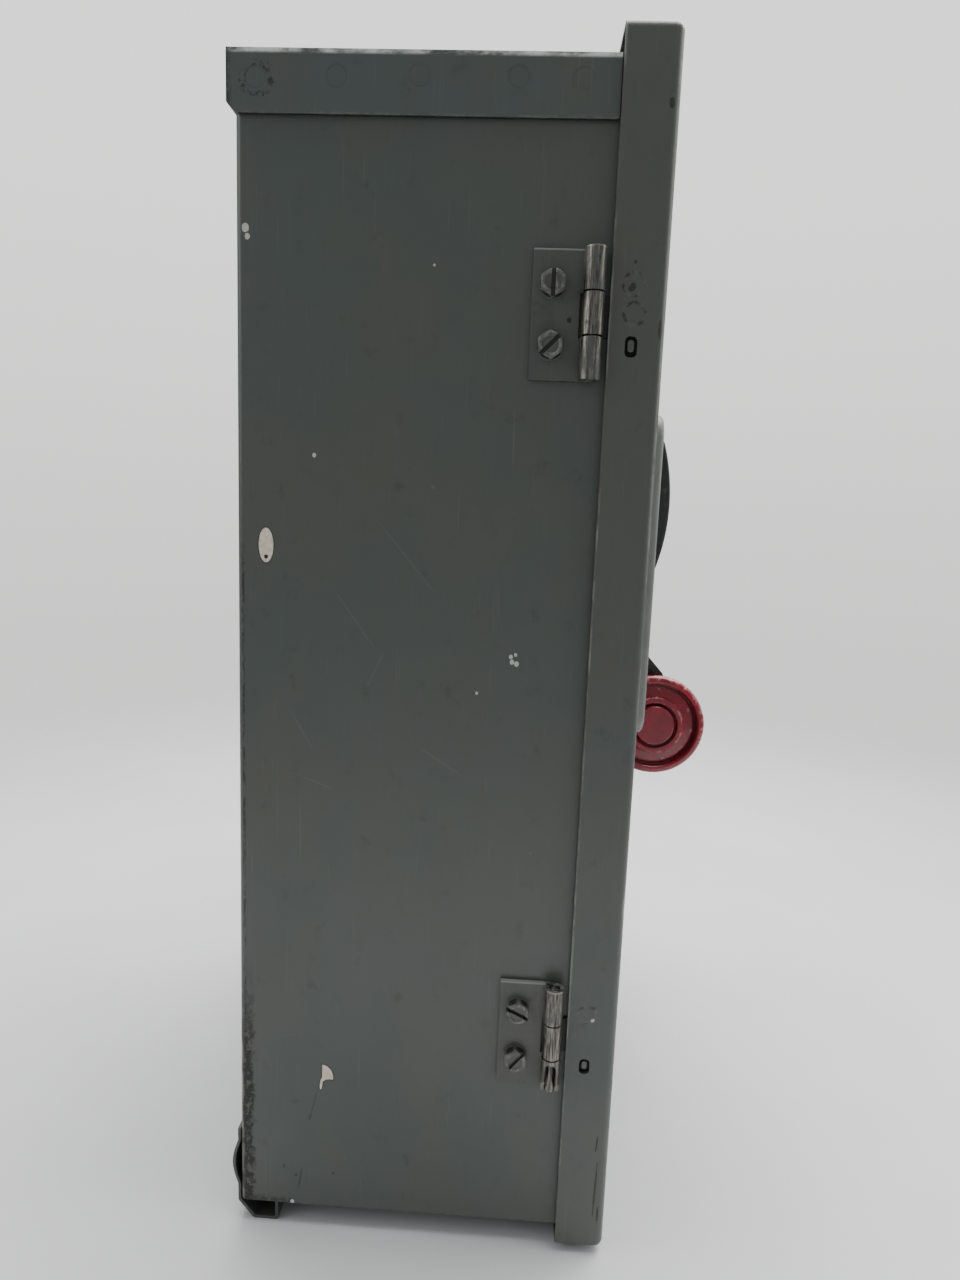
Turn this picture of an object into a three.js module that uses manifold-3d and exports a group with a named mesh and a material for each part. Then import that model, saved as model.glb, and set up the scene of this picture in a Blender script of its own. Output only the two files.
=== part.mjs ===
// Enclosed isolator switch: steel box, hinged door, front handle and a three-pole rotor inside.
// Millimetres. X runs to the right seen from the front, Y to the rear, Z up.
// Parts are placed from the box's left side (x = 0), the door's front (y = 0) and its lower edge (z = 0);
// at the end the whole assembly is moved so that its origin is the centre of its bottom.
import * as THREE from 'three';
import { mergeVertices } from 'three/addons/utils/BufferGeometryUtils.js';
import Module from 'manifold-3d';

const wasm = await Module();
wasm.setup();

// Driving dimensions -------------------------------------------------------
const SHEET = 1.5;            // steel sheet of the box, cap and door
const GAP = 0.3;              // clearance between touching pieces

const BOX = { width: 200, front: 3, rear: 131.4, bottom: 6.5, top: 388, lip: 7 };
const CAP = { front: 17.3, rear: 133.4, drop: 17.7, flange: 1.2, cornerCut: 2.8 };
const DOOR = { overhang: 3.1, depth: 17, height: 398.7, bevel: 2.6, openDeg: 120 };
const EMBOSS = { left: 14, right: 190, bottom: 182.9, top: 292, proud: 4.7, corner: 9, slope: 2 };

const HINGE = { x: -4, y: 22, radius: 3.25, pin: 1.6, bore: 1.9, height: 38.1, reach: 40.3 };
const HINGE_CENTRES = { upper: 317.15, lower: 81.05 };
const HINGE_SCREW = { y: 34.1, spread: 8.9, across: 7.5, head: 3, shank: 1.9, hole: 2.3 };
const SKIRT_SLOTS = [{ y: 10, z: 308.4, w: 3.5, h: 6 }, { y: 10.4, z: 71, w: 3.2, h: 5 }];

const PIVOT = { y: 31.5, z: 237.75 };           // handle shaft
const HANDLE = { throwDeg: 75, restDeg: 227.7, shaft: 5, bore: 5.3, hub: 11 };
const ARM = { web: 5, rib: 8, ribDepth: 3, centre: 121, top: 9.1, bottom: 5, apex: 77.6, boss: 9 };
const GRIP = { along: 91.9, across: 8.7, spindle: 4, near: 109, knob: 7.4, radius: 22.7, barrel: 16, far: 175 };
const GUARD = { left: 100, right: 142, bottom: 214, top: 290, radius: 89, y: 66.8, z: 263, slotTop: 278 };
const SLOT = { width: 12, bottom: 188.9, top: 269 };

const ROTOR = { y: 77.5, z: 256.8, radius: 9, left: 12, right: 136, ratio: 0.6, tipDeg: 45 };
const DRIVE = { radius: 22, restDeg: 60, pin: 3, left: 134.5, thick: 4 };
const FORK = { left: 128, thick: 4, reach: 40, slotFrom: 23, slotHalf: 4.7, prong: 4, hub: 14 };
const POLES = [32, 62, 92];
const BLADE = { length: 36, width: 10, thick: 3 };
const BASE = { left: 14, right: 112, front: 116.3, rear: 129.6, bottom: 100, top: 335 };
const BASE_SCREWS = [[19.2, 106], [106.8, 106], [19.2, 329], [106.8, 329]];
const JAW = { strap: 298, plate: 2, front: 68, width: 14 };
const FUSE = { radius: 7.1, y: 98, bottom: 134, top: 185, clip: 14 };

const LATCH = { x: 204.4, y: 45, z: 250, reach: 36, thick: 2, stud: 2.5 };
const FOOT = {
  width: 24, inset: 1.5, front: 118, toe: 127.3, sole: -2.2, top: 34, bulge: 2, bulgeLow: 11.5, bulgeHigh: 29,
};
const STRAP = 1.2;            // thickness of the feet's steel strap

// Materials ----------------------------------------------------------------
const paint = (color, roughness = 0.45, metalness = 0.1) => () =>
  new THREE.MeshStandardMaterial({ color, roughness, metalness });
const greyPaint = paint(0x484b46);
const blackPaint = paint(0x1c1c1b, 0.5);
const redPlastic = paint(0x692a2f, 0.35, 0);
const wornSteel = paint(0x77756f, 0.4, 0.9);
const zincSteel = paint(0x9a9c98, 0.35, 0.9);
const copper = paint(0xb06a42, 0.3, 1);
const phenolic = paint(0x2c2722, 0.6, 0);
const fuseBody = paint(0xd8d2c0, 0.7, 0);

// Solids -------------------------------------------------------------------
function solid(geometry) {
  const bare = geometry.clone();
  bare.deleteAttribute('normal');
  bare.deleteAttribute('uv');
  const merged = mergeVertices(bare.index ? bare.toNonIndexed() : bare, 1e-4);
  const triangles = [];
  const index = merged.index.array;
  for (let i = 0; i < index.length; i += 3) {
    const [a, b, c] = [index[i], index[i + 1], index[i + 2]];
    if (a !== b && b !== c && c !== a) triangles.push(a, b, c);
  }
  return new wasm.Manifold(new wasm.Mesh({
    numProp: 3,
    vertProperties: new Float32Array(merged.attributes.position.array),
    triVerts: new Uint32Array(triangles),
  }));
}

const joined = (first, ...rest) => rest.reduce((sum, piece) => sum.add(piece), first);
const cut = (body, ...tools) => tools.reduce((left, tool) => left.subtract(tool), body);

function block(x0, x1, y0, y1, z0, z1) {
  const geometry = new THREE.BoxGeometry(x1 - x0, y1 - y0, z1 - z0);
  geometry.translate((x0 + x1) / 2, (y0 + y1) / 2, (z0 + z1) / 2);
  return solid(geometry);
}

// A local frame whose Z axis lies along the named axis, used by rods and extrusions.
const FRAMES = {
  x: [new THREE.Vector3(0, 1, 0), new THREE.Vector3(0, 0, 1), new THREE.Vector3(1, 0, 0)],
  y: [new THREE.Vector3(1, 0, 0), new THREE.Vector3(0, 0, 1), new THREE.Vector3(0, -1, 0)],
  z: [new THREE.Vector3(1, 0, 0), new THREE.Vector3(0, 1, 0), new THREE.Vector3(0, 0, 1)],
};

function alongAxis(geometry, axis, start) {
  geometry.applyMatrix4(new THREE.Matrix4().makeBasis(...FRAMES[axis]));
  geometry.translate(axis === 'x' ? start : 0, axis === 'y' ? start : 0, axis === 'z' ? start : 0);
  return geometry;
}

// Extrudes a shape from `low` to `high` along an axis; its plane is (y,z), (x,z) or (x,y).
function prism(shape, axis, low, high, bevel = 0, curveSegments = 8) {
  const geometry = new THREE.ExtrudeGeometry(shape, {
    depth: high - low - 2 * bevel,
    bevelEnabled: bevel > 0,
    bevelThickness: bevel,
    bevelSize: bevel,
    bevelOffset: -bevel,
    bevelSegments: 2,
    curveSegments,
  });
  geometry.translate(0, 0, bevel);
  return solid(alongAxis(geometry, axis, axis === 'y' ? high : low));
}

// A round rod from `low` to `high` along an axis, centred at (a, b) in that axis's plane.
function rod(axis, radius, low, high, a, b, segments = 24) {
  const geometry = new THREE.CylinderGeometry(radius, radius, high - low, segments);
  geometry.rotateX(Math.PI / 2);
  geometry.translate(a, b, (high - low) / 2);
  return solid(alongAxis(geometry, axis, axis === 'y' ? high : low));
}

// Turns a profile of [radius, height] points about an X axis through (y, z).
function turnedX(profile, x, y, z, segments = 40) {
  const points = profile.map(([radius, height]) => new THREE.Vector2(radius, height));
  const geometry = new THREE.LatheGeometry(points, segments);
  geometry.rotateZ(-Math.PI / 2);
  geometry.translate(x, y, z);
  return solid(geometry);
}

function polygon(points) {
  return new THREE.Shape(points.map(([a, b]) => new THREE.Vector2(a, b)));
}

function roundedRectangle(left, right, bottom, top, radius) {
  const shape = new THREE.Shape();
  shape.moveTo(left + radius, bottom);
  shape.lineTo(right - radius, bottom);
  shape.absarc(right - radius, bottom + radius, radius, -Math.PI / 2, 0);
  shape.absarc(right - radius, top - radius, radius, 0, Math.PI / 2);
  shape.absarc(left + radius, top - radius, radius, Math.PI / 2, Math.PI);
  shape.absarc(left + radius, bottom + radius, radius, Math.PI, 1.5 * Math.PI);
  return shape;
}

// Groups, one for each rigid body -------------------------------------------
const enclosure = new THREE.Group();
const door = new THREE.Group();
const handle = new THREE.Group();
const rotor = new THREE.Group();
const latch = new THREE.Group();

function add(group, name, body, material) {
  const mesh = body.getMesh();
  const geometry = new THREE.BufferGeometry();
  geometry.setAttribute('position', new THREE.BufferAttribute(mesh.vertProperties, 3));
  geometry.setIndex(new THREE.BufferAttribute(mesh.triVerts, 1));
  geometry.computeVertexNormals();
  const piece = new THREE.Mesh(geometry, material());
  piece.name = name;
  group.add(piece);
}

// Enclosure sheet metal -------------------------------------------------------
function hingeScrewHoles(radius) {
  return Object.values(HINGE_CENTRES).flatMap((centre) => [-1, 1].map((side) =>
    rod('x', radius, -10, 10, HINGE_SCREW.y, centre + side * HINGE_SCREW.spread, 16)));
}

function wrapper() {
  const { width, front, rear, bottom, top, lip } = BOX;
  const outline = polygon([
    [lip, front], [lip, front + SHEET], [SHEET, front + SHEET], [SHEET, rear - SHEET],
    [width - SHEET, rear - SHEET], [width - SHEET, front + SHEET], [width - lip, front + SHEET],
    [width - lip, front], [width, front], [width, rear], [0, rear], [0, front],
  ]);
  const keyhole = joined(
    rod('y', 5, rear - 5, rear + 5, width / 2, 356, 20),
    block(width / 2 - 2.5, width / 2 + 2.5, rear - 5, rear + 5, 356, 367));
  const lowHoles = [50, width - 50].map((x) => rod('y', 3.5, rear - 5, rear + 5, x, 30, 16));
  const latchHole = rod('x', LATCH.stud + GAP, width - 5, width + 5, LATCH.y, LATCH.z, 16);
  return cut(prism(outline, 'z', bottom, top), keyhole, latchHole, ...lowHoles,
    ...hingeScrewHoles(HINGE_SCREW.hole));
}

function topCap() {
  const outer = BOX.width + GAP + CAP.flange;
  const left = -GAP - CAP.flange;
  const top = BOX.top + GAP + SHEET;
  const low = top - CAP.drop;
  const side = polygon([
    [CAP.front, low], [CAP.rear - CAP.cornerCut, low], [CAP.rear, low + CAP.cornerCut],
    [CAP.rear, top], [CAP.front, top],
  ]);
  const inside = block(-GAP, BOX.width + GAP, 0, BOX.rear + GAP, low - 1, BOX.top + GAP);
  const tongue = block(0, BOX.width, BOX.front + 1, CAP.front + 5, BOX.top + GAP, top);
  return joined(cut(prism(side, 'x', left, outer), inside), tongue);
}

function bottomEnd() {
  const { width, front, rear, bottom } = BOX;
  const edge = SHEET + GAP;
  const y0 = front + edge;
  const y1 = rear - edge;
  const tray = cut(
    block(edge, width - edge, y0, y1, bottom, bottom + 14),
    block(edge + SHEET, width - edge - SHEET, y0 - 1, y1 - SHEET, bottom + SHEET, bottom + 20));
  const rings = [45, 100, 155].map((x) => cut(
    rod('z', 14, bottom - 1, bottom + 0.7, x, 72, 32),
    rod('z', 13, bottom - 2, bottom + 2, x, 72, 32)));
  return cut(tray, ...rings);
}

// A strap foot: it hangs on the rear wall, bulges behind it and hooks under the bottom edge.
function mountingFoot(left) {
  const { width, front, toe, sole, top, bulge, bulgeLow, bulgeHigh } = FOOT;
  const inner = BOX.rear + GAP;
  const outer = inner + STRAP;
  const bend = BOX.bottom - 1;
  const bow = (face) => [0.15, 0.5, 0.85].map((share) => [
    face + bulge * Math.sin(Math.PI * share), bulgeLow + (bulgeHigh - bulgeLow) * share]);
  const outline = polygon([
    [inner, top], [inner, bulgeHigh], ...bow(inner).reverse(), [inner, bulgeLow], [inner, bend],
    [toe - 0.8, sole + STRAP], [front + STRAP, sole + STRAP], [front + STRAP, BOX.bottom - GAP],
    [front, BOX.bottom - GAP], [front, sole], [toe, sole], [outer, bend - 0.5],
    [outer, bulgeLow], ...bow(outer), [outer, bulgeHigh], [outer, top],
  ]);
  return prism(outline, 'x', left, left + width);
}

add(enclosure, 'enclosure_wrapper', wrapper(), greyPaint);
add(enclosure, 'top_cap', topCap(), greyPaint);
add(enclosure, 'bottom_end', bottomEnd(), greyPaint);
add(enclosure, 'left_mounting_foot', mountingFoot(FOOT.inset), greyPaint);
add(enclosure, 'right_mounting_foot', mountingFoot(BOX.width - FOOT.inset - FOOT.width), greyPaint);

// Hinges ------------------------------------------------------------------------
const KNUCKLE_GAP = 0.4;

function hingeBoxLeaf(centre) {
  const low = centre - HINGE.height / 2;
  const high = centre + HINGE.height / 2;
  const third = HINGE.height / 3;
  const tube = rod('z', HINGE.radius, low, high, HINGE.x, HINGE.y, 28);
  const leaf = block(-GAP - SHEET, -GAP, HINGE.y, HINGE.reach, low, high);
  const notch = block(HINGE.x - 8, 4, HINGE.y - 8, HINGE.y + HINGE.radius + 0.6,
    low + third - KNUCKLE_GAP / 2, high - third + KNUCKLE_GAP / 2);
  const bore = rod('z', HINGE.bore, low - 1, high + 1, HINGE.x, HINGE.y, 20);
  return cut(joined(tube, leaf), notch, bore, ...hingeScrewHoles(HINGE_SCREW.hole));
}

function hingeDoorLeaf(centre) {
  const low = centre - HINGE.height / 2;
  const third = HINGE.height / 3;
  const knuckleLow = low + third + KNUCKLE_GAP / 2;
  const knuckleHigh = low + 2 * third - KNUCKLE_GAP / 2;
  const inner = -DOOR.overhang + SHEET + GAP;
  const leaf = block(inner, -GAP, 3, DOOR.depth - 1, low, low + HINGE.height);
  const strap = block(inner, -GAP, DOOR.depth - 2, HINGE.y, knuckleLow, knuckleHigh);
  const tube = rod('z', HINGE.radius, knuckleLow, knuckleHigh, HINGE.x, HINGE.y, 28);
  const bore = rod('z', HINGE.bore, low, low + HINGE.height, HINGE.x, HINGE.y, 20);
  return cut(joined(leaf, strap, tube), bore);
}

function hingeScrew(z) {
  const { y, across, head, shank } = HINGE_SCREW;
  const under = -GAP - SHEET - GAP;
  const hex = rod('x', across / Math.sqrt(3), under - head, under, y, z, 6);
  const stem = rod('x', shank, under - 0.5, 6, y, z, 16);
  const slot = block(under - head - 1, under - head + 1, y - across, y + across, z - 0.6, z + 0.6);
  return cut(joined(hex, stem), slot);
}

for (const [name, centre] of Object.entries(HINGE_CENTRES)) {
  const pinLow = centre - HINGE.height / 2;
  const pin = rod('z', HINGE.pin, pinLow, pinLow + HINGE.height, HINGE.x, HINGE.y, 16);
  add(enclosure, `${name}_hinge_box_leaf`, hingeBoxLeaf(centre), greyPaint);
  add(enclosure, `${name}_hinge_pin`, pin, wornSteel);
  add(door, `${name}_hinge_door_leaf`, hingeDoorLeaf(centre), wornSteel);
  add(enclosure, `${name}_hinge_screw_high`, hingeScrew(centre + HINGE_SCREW.spread), greyPaint);
  add(enclosure, `${name}_hinge_screw_low`, hingeScrew(centre - HINGE_SCREW.spread), greyPaint);
}

// Door ----------------------------------------------------------------------------
function doorShell() {
  const left = -DOOR.overhang;
  const right = BOX.width + DOOR.overhang;
  const wholeBlock = prism(roundedRectangle(left, right, 0, DOOR.height, 3), 'y', 0, 40, DOOR.bevel, 2);
  const outer = cut(wholeBlock, block(-20, 220, DOOR.depth, 50, -5, DOOR.height + 5));
  const hollow = prism(roundedRectangle(left + SHEET, right - SHEET, SHEET, DOOR.height - SHEET, 2.4),
    'y', SHEET, 40, DOOR.bevel - 0.4, 2);
  const raised = roundedRectangle(EMBOSS.left, EMBOSS.right, EMBOSS.bottom, EMBOSS.top, EMBOSS.corner);
  const panel = prism(raised, 'y', -EMBOSS.proud, 8, EMBOSS.slope, 5);
  const sunk = roundedRectangle(EMBOSS.left + SHEET, EMBOSS.right - SHEET,
    EMBOSS.bottom + SHEET, EMBOSS.top - SHEET, EMBOSS.corner - SHEET);
  const pocket = prism(sunk, 'y', SHEET - EMBOSS.proud, 12, EMBOSS.slope, 5);
  const x0 = ARM.centre - SLOT.width / 2;
  const armSlot = block(x0, x0 + SLOT.width, -10, 5, SLOT.bottom, SLOT.top);
  const rivetSlots = SKIRT_SLOTS.map(({ y, z, w, h }) => prism(
    roundedRectangle(y - w / 2, y + w / 2, z - h / 2, z + h / 2, w / 2.1),
    'x', left - 1, left + SHEET + 0.2, 0, 3));
  const studHole = rod('x', LATCH.stud + GAP, right - 5, right + 5, LATCH.y - LATCH.reach, LATCH.z, 16);
  return cut(joined(outer, panel), hollow, pocket, armSlot, studHole, ...rivetSlots);
}

// The convex guard: two cheeks joined over the top of the slot that the arm moves in.
function guard() {
  const { left, right, bottom, top, radius, y, z, slotTop } = GUARD;
  const face = -EMBOSS.proud - GAP;
  const angleAt = (height) => Math.PI - Math.asin((height - z) / radius);
  const outline = new THREE.Shape();
  outline.moveTo(face, bottom);
  outline.lineTo(face, top);
  outline.absarc(y, z, radius, angleAt(top), angleAt(bottom), false);
  const middle = ARM.centre;
  const armSlot = block(middle - SLOT.width / 2, middle + SLOT.width / 2, -40, 0, bottom - 5, slotTop);
  return cut(prism(outline, 'x', left, right, 1.6, 24), armSlot);
}

function bearingBracket(side) {
  const inner = side < 0 ? 102.5 : 143;
  const ear = side < 0 ? [inner - 2.5, inner] : [inner, inner + 2.5];
  const flange = side < 0 ? [inner - 15, inner] : [inner, inner + 15];
  const face = SHEET - EMBOSS.proud + GAP;
  const earOutline = polygon([
    [face, PIVOT.z - 22], [face + 12, PIVOT.z - 22], [PIVOT.y + 10, PIVOT.z - 10],
    [PIVOT.y + 10, PIVOT.z + 10], [face + 12, PIVOT.z + 22], [face, PIVOT.z + 22],
  ]);
  return cut(
    joined(prism(earOutline, 'x', ...ear),
      block(...flange, face, face + 2, PIVOT.z - 22, PIVOT.z + 22)),
    rod('x', HANDLE.bore, 0, 200, PIVOT.y, PIVOT.z, 24));
}

function doorStud() {
  const right = BOX.width + DOOR.overhang;
  const y = LATCH.y - LATCH.reach;
  return joined(
    rod('x', LATCH.stud, right - SHEET - 0.2, LATCH.x + LATCH.thick + 1, y, LATCH.z, 20),
    rod('x', LATCH.stud + 1.5, LATCH.x + LATCH.thick + 0.8, LATCH.x + LATCH.thick + 2.5, y, LATCH.z, 20));
}

add(door, 'door_shell', doorShell(), greyPaint);
add(door, 'handle_guard', guard(), blackPaint);
add(door, 'left_bearing_bracket', bearingBracket(-1), zincSteel);
add(door, 'right_bearing_bracket', bearingBracket(1), zincSteel);
add(door, 'door_latch_stud', doorStud(), zincSteel);

// Handle --------------------------------------------------------------------------
// The arm is drawn in its own plane: +Y runs from the pivot to the grip and -Z is its ribbed edge.
const gripCentre = { y: GRIP.along, z: GRIP.across };
const armGroup = new THREE.Group();
armGroup.position.set(ARM.centre, PIVOT.y, PIVOT.z);
armGroup.rotation.x = THREE.MathUtils.degToRad(HANDLE.restDeg);
handle.add(armGroup);

function operatingArm() {
  const { web, rib, ribDepth, top, bottom, apex, boss } = ARM;
  const outline = polygon([
    [0, -top], [apex, -top], [gripCentre.y + boss * 0.5, gripCentre.z - boss * 0.85],
    [gripCentre.y + boss * 0.5, gripCentre.z + boss * 0.85],
    [gripCentre.y - boss * 0.5, gripCentre.z + boss * 0.85], [62, bottom], [0, bottom],
  ]);
  const edge = polygon([[0, -top], [apex, -top], [apex, ribDepth - top], [0, ribDepth - top]]);
  const body = joined(
    prism(outline, 'x', -web / 2, web / 2),
    prism(edge, 'x', -rib / 2, rib / 2),
    rod('x', HANDLE.hub, -web / 2, web / 2, 0, 0, 28),
    rod('x', boss, -web / 2, web / 2, gripCentre.y, gripCentre.z, 28));
  return cut(body,
    rod('x', HANDLE.bore, -20, 20, 0, 0, 24),
    rod('x', GRIP.spindle + GAP, -20, 20, gripCentre.y, gripCentre.z, 20));
}

// Profiles run from the axis on the left face, round the outside, to the axis on the right face.
function endKnob() {
  const { radius, knob } = GRIP;
  const profile = [
    [0, 2.2], [0.40 * radius, 2.2], [0.43 * radius, 0.6], [0.56 * radius, 0.2], [0.62 * radius, 1.4],
    [0.76 * radius, 1.8], [0.82 * radius, 0.6], [0.92 * radius, 0], [radius - 0.6, 1.0],
    [radius, 2.6], [radius - 0.6, 4.2], [0.8 * radius, knob], [0, knob],
  ];
  const bore = rod('x', GRIP.spindle + GAP, knob / 2, 40, gripCentre.y, gripCentre.z, 20);
  const near = GRIP.near - ARM.centre;
  const body = turnedX(profile, near, gripCentre.y, gripCentre.z, 40);
  return cut(body, bore.translate([near, 0, 0]));
}

function gripBarrel() {
  const { barrel, far } = GRIP;
  const near = ARM.rib / 2 + 0.4;
  const length = far - ARM.centre - near;
  const profile = [
    [0, 0], [barrel - 2, 0], [barrel, 2], [barrel - 1, length * 0.25], [barrel - 1.4, length * 0.5],
    [barrel - 1, length * 0.75], [barrel, length - 4], [barrel - 2, length - 0.8],
    [barrel - 5, length], [0, length],
  ];
  const bore = rod('x', GRIP.spindle + GAP, near - 1, near + length - 8, gripCentre.y, gripCentre.z, 20);
  return cut(turnedX(profile, near, gripCentre.y, gripCentre.z, 32), bore);
}

function gripSpindle() {
  const low = GRIP.near + GRIP.knob / 2 + GAP - ARM.centre;
  const high = GRIP.far - 9 - ARM.centre;
  return rod('x', GRIP.spindle, low, high, gripCentre.y, gripCentre.z, 20);
}

function driveLever() {
  const angle = THREE.MathUtils.degToRad(DRIVE.restDeg);
  const y = PIVOT.y + DRIVE.radius * Math.cos(angle);
  const z = PIVOT.z + DRIVE.radius * Math.sin(angle);
  const right = DRIVE.left + DRIVE.thick;
  const side = [-Math.sin(angle) * 6, Math.cos(angle) * 6];
  const bar = polygon([
    [PIVOT.y - side[0], PIVOT.z - side[1]], [y - side[0], z - side[1]],
    [y + side[0], z + side[1]], [PIVOT.y + side[0], PIVOT.z + side[1]],
  ]);
  return cut(
    joined(prism(bar, 'x', DRIVE.left, right),
      rod('x', 10, DRIVE.left, right, PIVOT.y, PIVOT.z, 28),
      rod('x', 6, DRIVE.left, right, y, z, 24),
      rod('x', DRIVE.pin, FORK.left - 1.5, DRIVE.left + 1, y, z, 20)),
    rod('x', HANDLE.bore, 100, 200, PIVOT.y, PIVOT.z, 24));
}

add(armGroup, 'operating_arm', operatingArm(), blackPaint);
add(armGroup, 'grip_end_knob', endKnob(), redPlastic);
add(armGroup, 'grip_barrel', gripBarrel(), redPlastic);
add(armGroup, 'grip_spindle', gripSpindle(), zincSteel);
add(handle, 'handle_shaft', rod('x', HANDLE.shaft, 96, 149, PIVOT.y, PIVOT.z, 24), zincSteel);
add(handle, 'drive_lever', driveLever(), zincSteel);

// Rotor -----------------------------------------------------------------------------
// Blades stand at `tipDeg` from upright when the switch is off and are upright when it is on.
const bladeTurn = new THREE.Matrix4().makeRotationX(THREE.MathUtils.degToRad(-ROTOR.tipDeg));

function bladeBar(x, grow) {
  const { length, width, thick } = BLADE;
  const geometry = new THREE.BoxGeometry(thick + 2 * grow, width + 2 * grow, 2 * length);
  geometry.applyMatrix4(bladeTurn);
  geometry.translate(x, ROTOR.y, ROTOR.z);
  return solid(geometry);
}

function driveFork() {
  const { left, thick, reach, slotFrom, slotHalf, prong, hub } = FORK;
  const right = left + thick;
  const half = slotHalf + prong;
  return cut(
    joined(rod('x', hub, left, right, ROTOR.y, ROTOR.z, 28),
      block(left, right, ROTOR.y - reach, ROTOR.y, ROTOR.z - half, ROTOR.z + half)),
    rod('x', ROTOR.radius + GAP, left - 5, right + 5, ROTOR.y, ROTOR.z, 28),
    block(left - 5, right + 5, ROTOR.y - reach - 5, ROTOR.y - slotFrom, ROTOR.z - slotHalf,
      ROTOR.z + slotHalf));
}

const rotorShaft = cut(rod('x', ROTOR.radius, ROTOR.left, ROTOR.right, ROTOR.y, ROTOR.z, 28),
  ...POLES.map((x) => bladeBar(x, GAP)));
add(rotor, 'rotor_shaft', rotorShaft, phenolic);
add(rotor, 'drive_fork', driveFork(), zincSteel);
POLES.forEach((x, i) => add(rotor, `rotor_blade_${i + 1}`, bladeBar(x, 0), copper));

// Switch base and terminals ------------------------------------------------------------
function switchBase() {
  const { left, right, front, rear, bottom, top } = BASE;
  const ribs = [47, 77].map((x) => block(x - 1.5, x + 1.5, front - 14, front + 1, bottom, top));
  const holes = BASE_SCREWS.map(([x, z]) =>
    rod('y', 2.6, front - 5, rear + 5, x, z, 16));
  const rotorRoom = rod('x', 40, left, right, ROTOR.y, ROTOR.z, 24);
  return cut(joined(block(left, right, front, rear, bottom, top), ...ribs), rotorRoom, ...holes);
}

function rotorBearing(x) {
  const outline = polygon([
    [BASE.front - GAP, ROTOR.z - 22], [BASE.front - GAP, ROTOR.z + 22],
    [ROTOR.y - 4, ROTOR.z + 16], [ROTOR.y - 16, ROTOR.z + 8],
    [ROTOR.y - 16, ROTOR.z - 8], [ROTOR.y - 4, ROTOR.z - 16],
  ]);
  return cut(prism(outline, 'x', x, x + 3), rod('x', ROTOR.radius + GAP, 0, 200, ROTOR.y, ROTOR.z, 28));
}

// Straps are drawn above the rotor; the ones below are the same shape turned over.
function jawAndStrap(x, above) {
  const level = (z) => (above ? z : 2 * ROTOR.z - z);
  const slab = (x0, x1, y0, y1, z0, z1) =>
    block(x0, x1, y0, y1, Math.min(level(z0), level(z1)), Math.max(level(z0), level(z1)));
  const half = BLADE.thick / 2 + GAP;
  const { strap, plate, front, width } = JAW;
  return joined(
    slab(x - width / 2, x + width / 2, front, BASE.front - GAP, strap, strap + plate),
    slab(x - half - plate, x - half, front + 2, front + 18, strap - 14, strap + 1),
    slab(x + half, x + half + plate, front + 2, front + 18, strap - 14, strap + 1));
}

function lug(x, low, high) {
  const rear = BASE.front - GAP;
  const middle = rear - 9;
  return cut(block(x - 8, x + 8, rear - 17, rear, low, high),
    rod('z', 4.5, low - 1, high + 1, x, middle, 20),
    rod('y', 2.5, rear - 30, middle, x, (low + high) / 2, 16));
}

function fuseClip(x, low) {
  const { radius, y, clip } = FUSE;
  return cut(block(x - 10, x + 10, y - 3, BASE.front - GAP, low, low + clip),
    rod('z', radius + GAP, low - 1, low + clip + 1, x, y, 24));
}

function lineTerminal(x) {
  const rear = BASE.front - GAP;
  return joined(jawAndStrap(x, true), lug(x, 310, 326),
    block(x - 7, x + 7, rear - JAW.plate, rear, JAW.strap, 312));
}

function loadTerminal(x) {
  const rear = BASE.front - GAP;
  const low = FUSE.top - FUSE.clip - 2;
  const strapLow = 2 * ROTOR.z - JAW.strap - JAW.plate;
  return joined(jawAndStrap(x, false), fuseClip(x, low),
    block(x - 7, x + 7, rear - JAW.plate, rear, low + 1, strapLow + 1));
}

function fuseOutlet(x) {
  const rear = BASE.front - GAP;
  return joined(fuseClip(x, FUSE.bottom + 2), lug(x, 108, 124),
    block(x - 7, x + 7, rear - JAW.plate, rear, 122, FUSE.bottom + 4));
}

function fuse(x) {
  const { radius, y, bottom, top } = FUSE;
  const middle = (bottom + top) / 2;
  return joined(rod('z', radius, bottom, bottom + 15, x, y, 24),
    rod('z', radius - 0.4, middle - 15, middle + 15, x, y, 24),
    rod('z', radius, top - 15, top, x, y, 24));
}

add(enclosure, 'switch_base', switchBase(), phenolic);
add(enclosure, 'left_rotor_bearing', rotorBearing(16), zincSteel);
add(enclosure, 'right_rotor_bearing', rotorBearing(108.4), zincSteel);
POLES.forEach((x, i) => {
  add(enclosure, `line_terminal_${i + 1}`, lineTerminal(x), copper);
  add(enclosure, `load_terminal_${i + 1}`, loadTerminal(x), copper);
  add(enclosure, `fuse_outlet_${i + 1}`, fuseOutlet(x), copper);
  add(enclosure, `fuse_${i + 1}`, fuse(x), fuseBody);
});

// Screws along Y: a pan head in front of `face` and a shank behind it.
function panScrew(x, z, face, shank, depth) {
  return joined(rod('y', shank * 1.9, face - 2.2, face, x, z, 16),
    rod('y', shank, face - 0.5, face + depth, x, z, 12));
}

BASE_SCREWS.forEach(([x, z], i) =>
  add(enclosure, `base_screw_${i + 1}`, panScrew(x, z, BASE.front - GAP, 2.2, 11.5), zincSteel));

const groundBar = cut(block(160, 190, 118, BOX.rear - SHEET - GAP, 60, 72),
  ...[168, 182].map((x) => rod('y', 2.3, 110, 140, x, 66, 16)));
add(enclosure, 'ground_bar', groundBar, zincSteel);
[168, 182].forEach((x, i) =>
  add(enclosure, `ground_screw_${i + 1}`, panScrew(x, 66, 118 - GAP, 2, 8), zincSteel));

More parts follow.
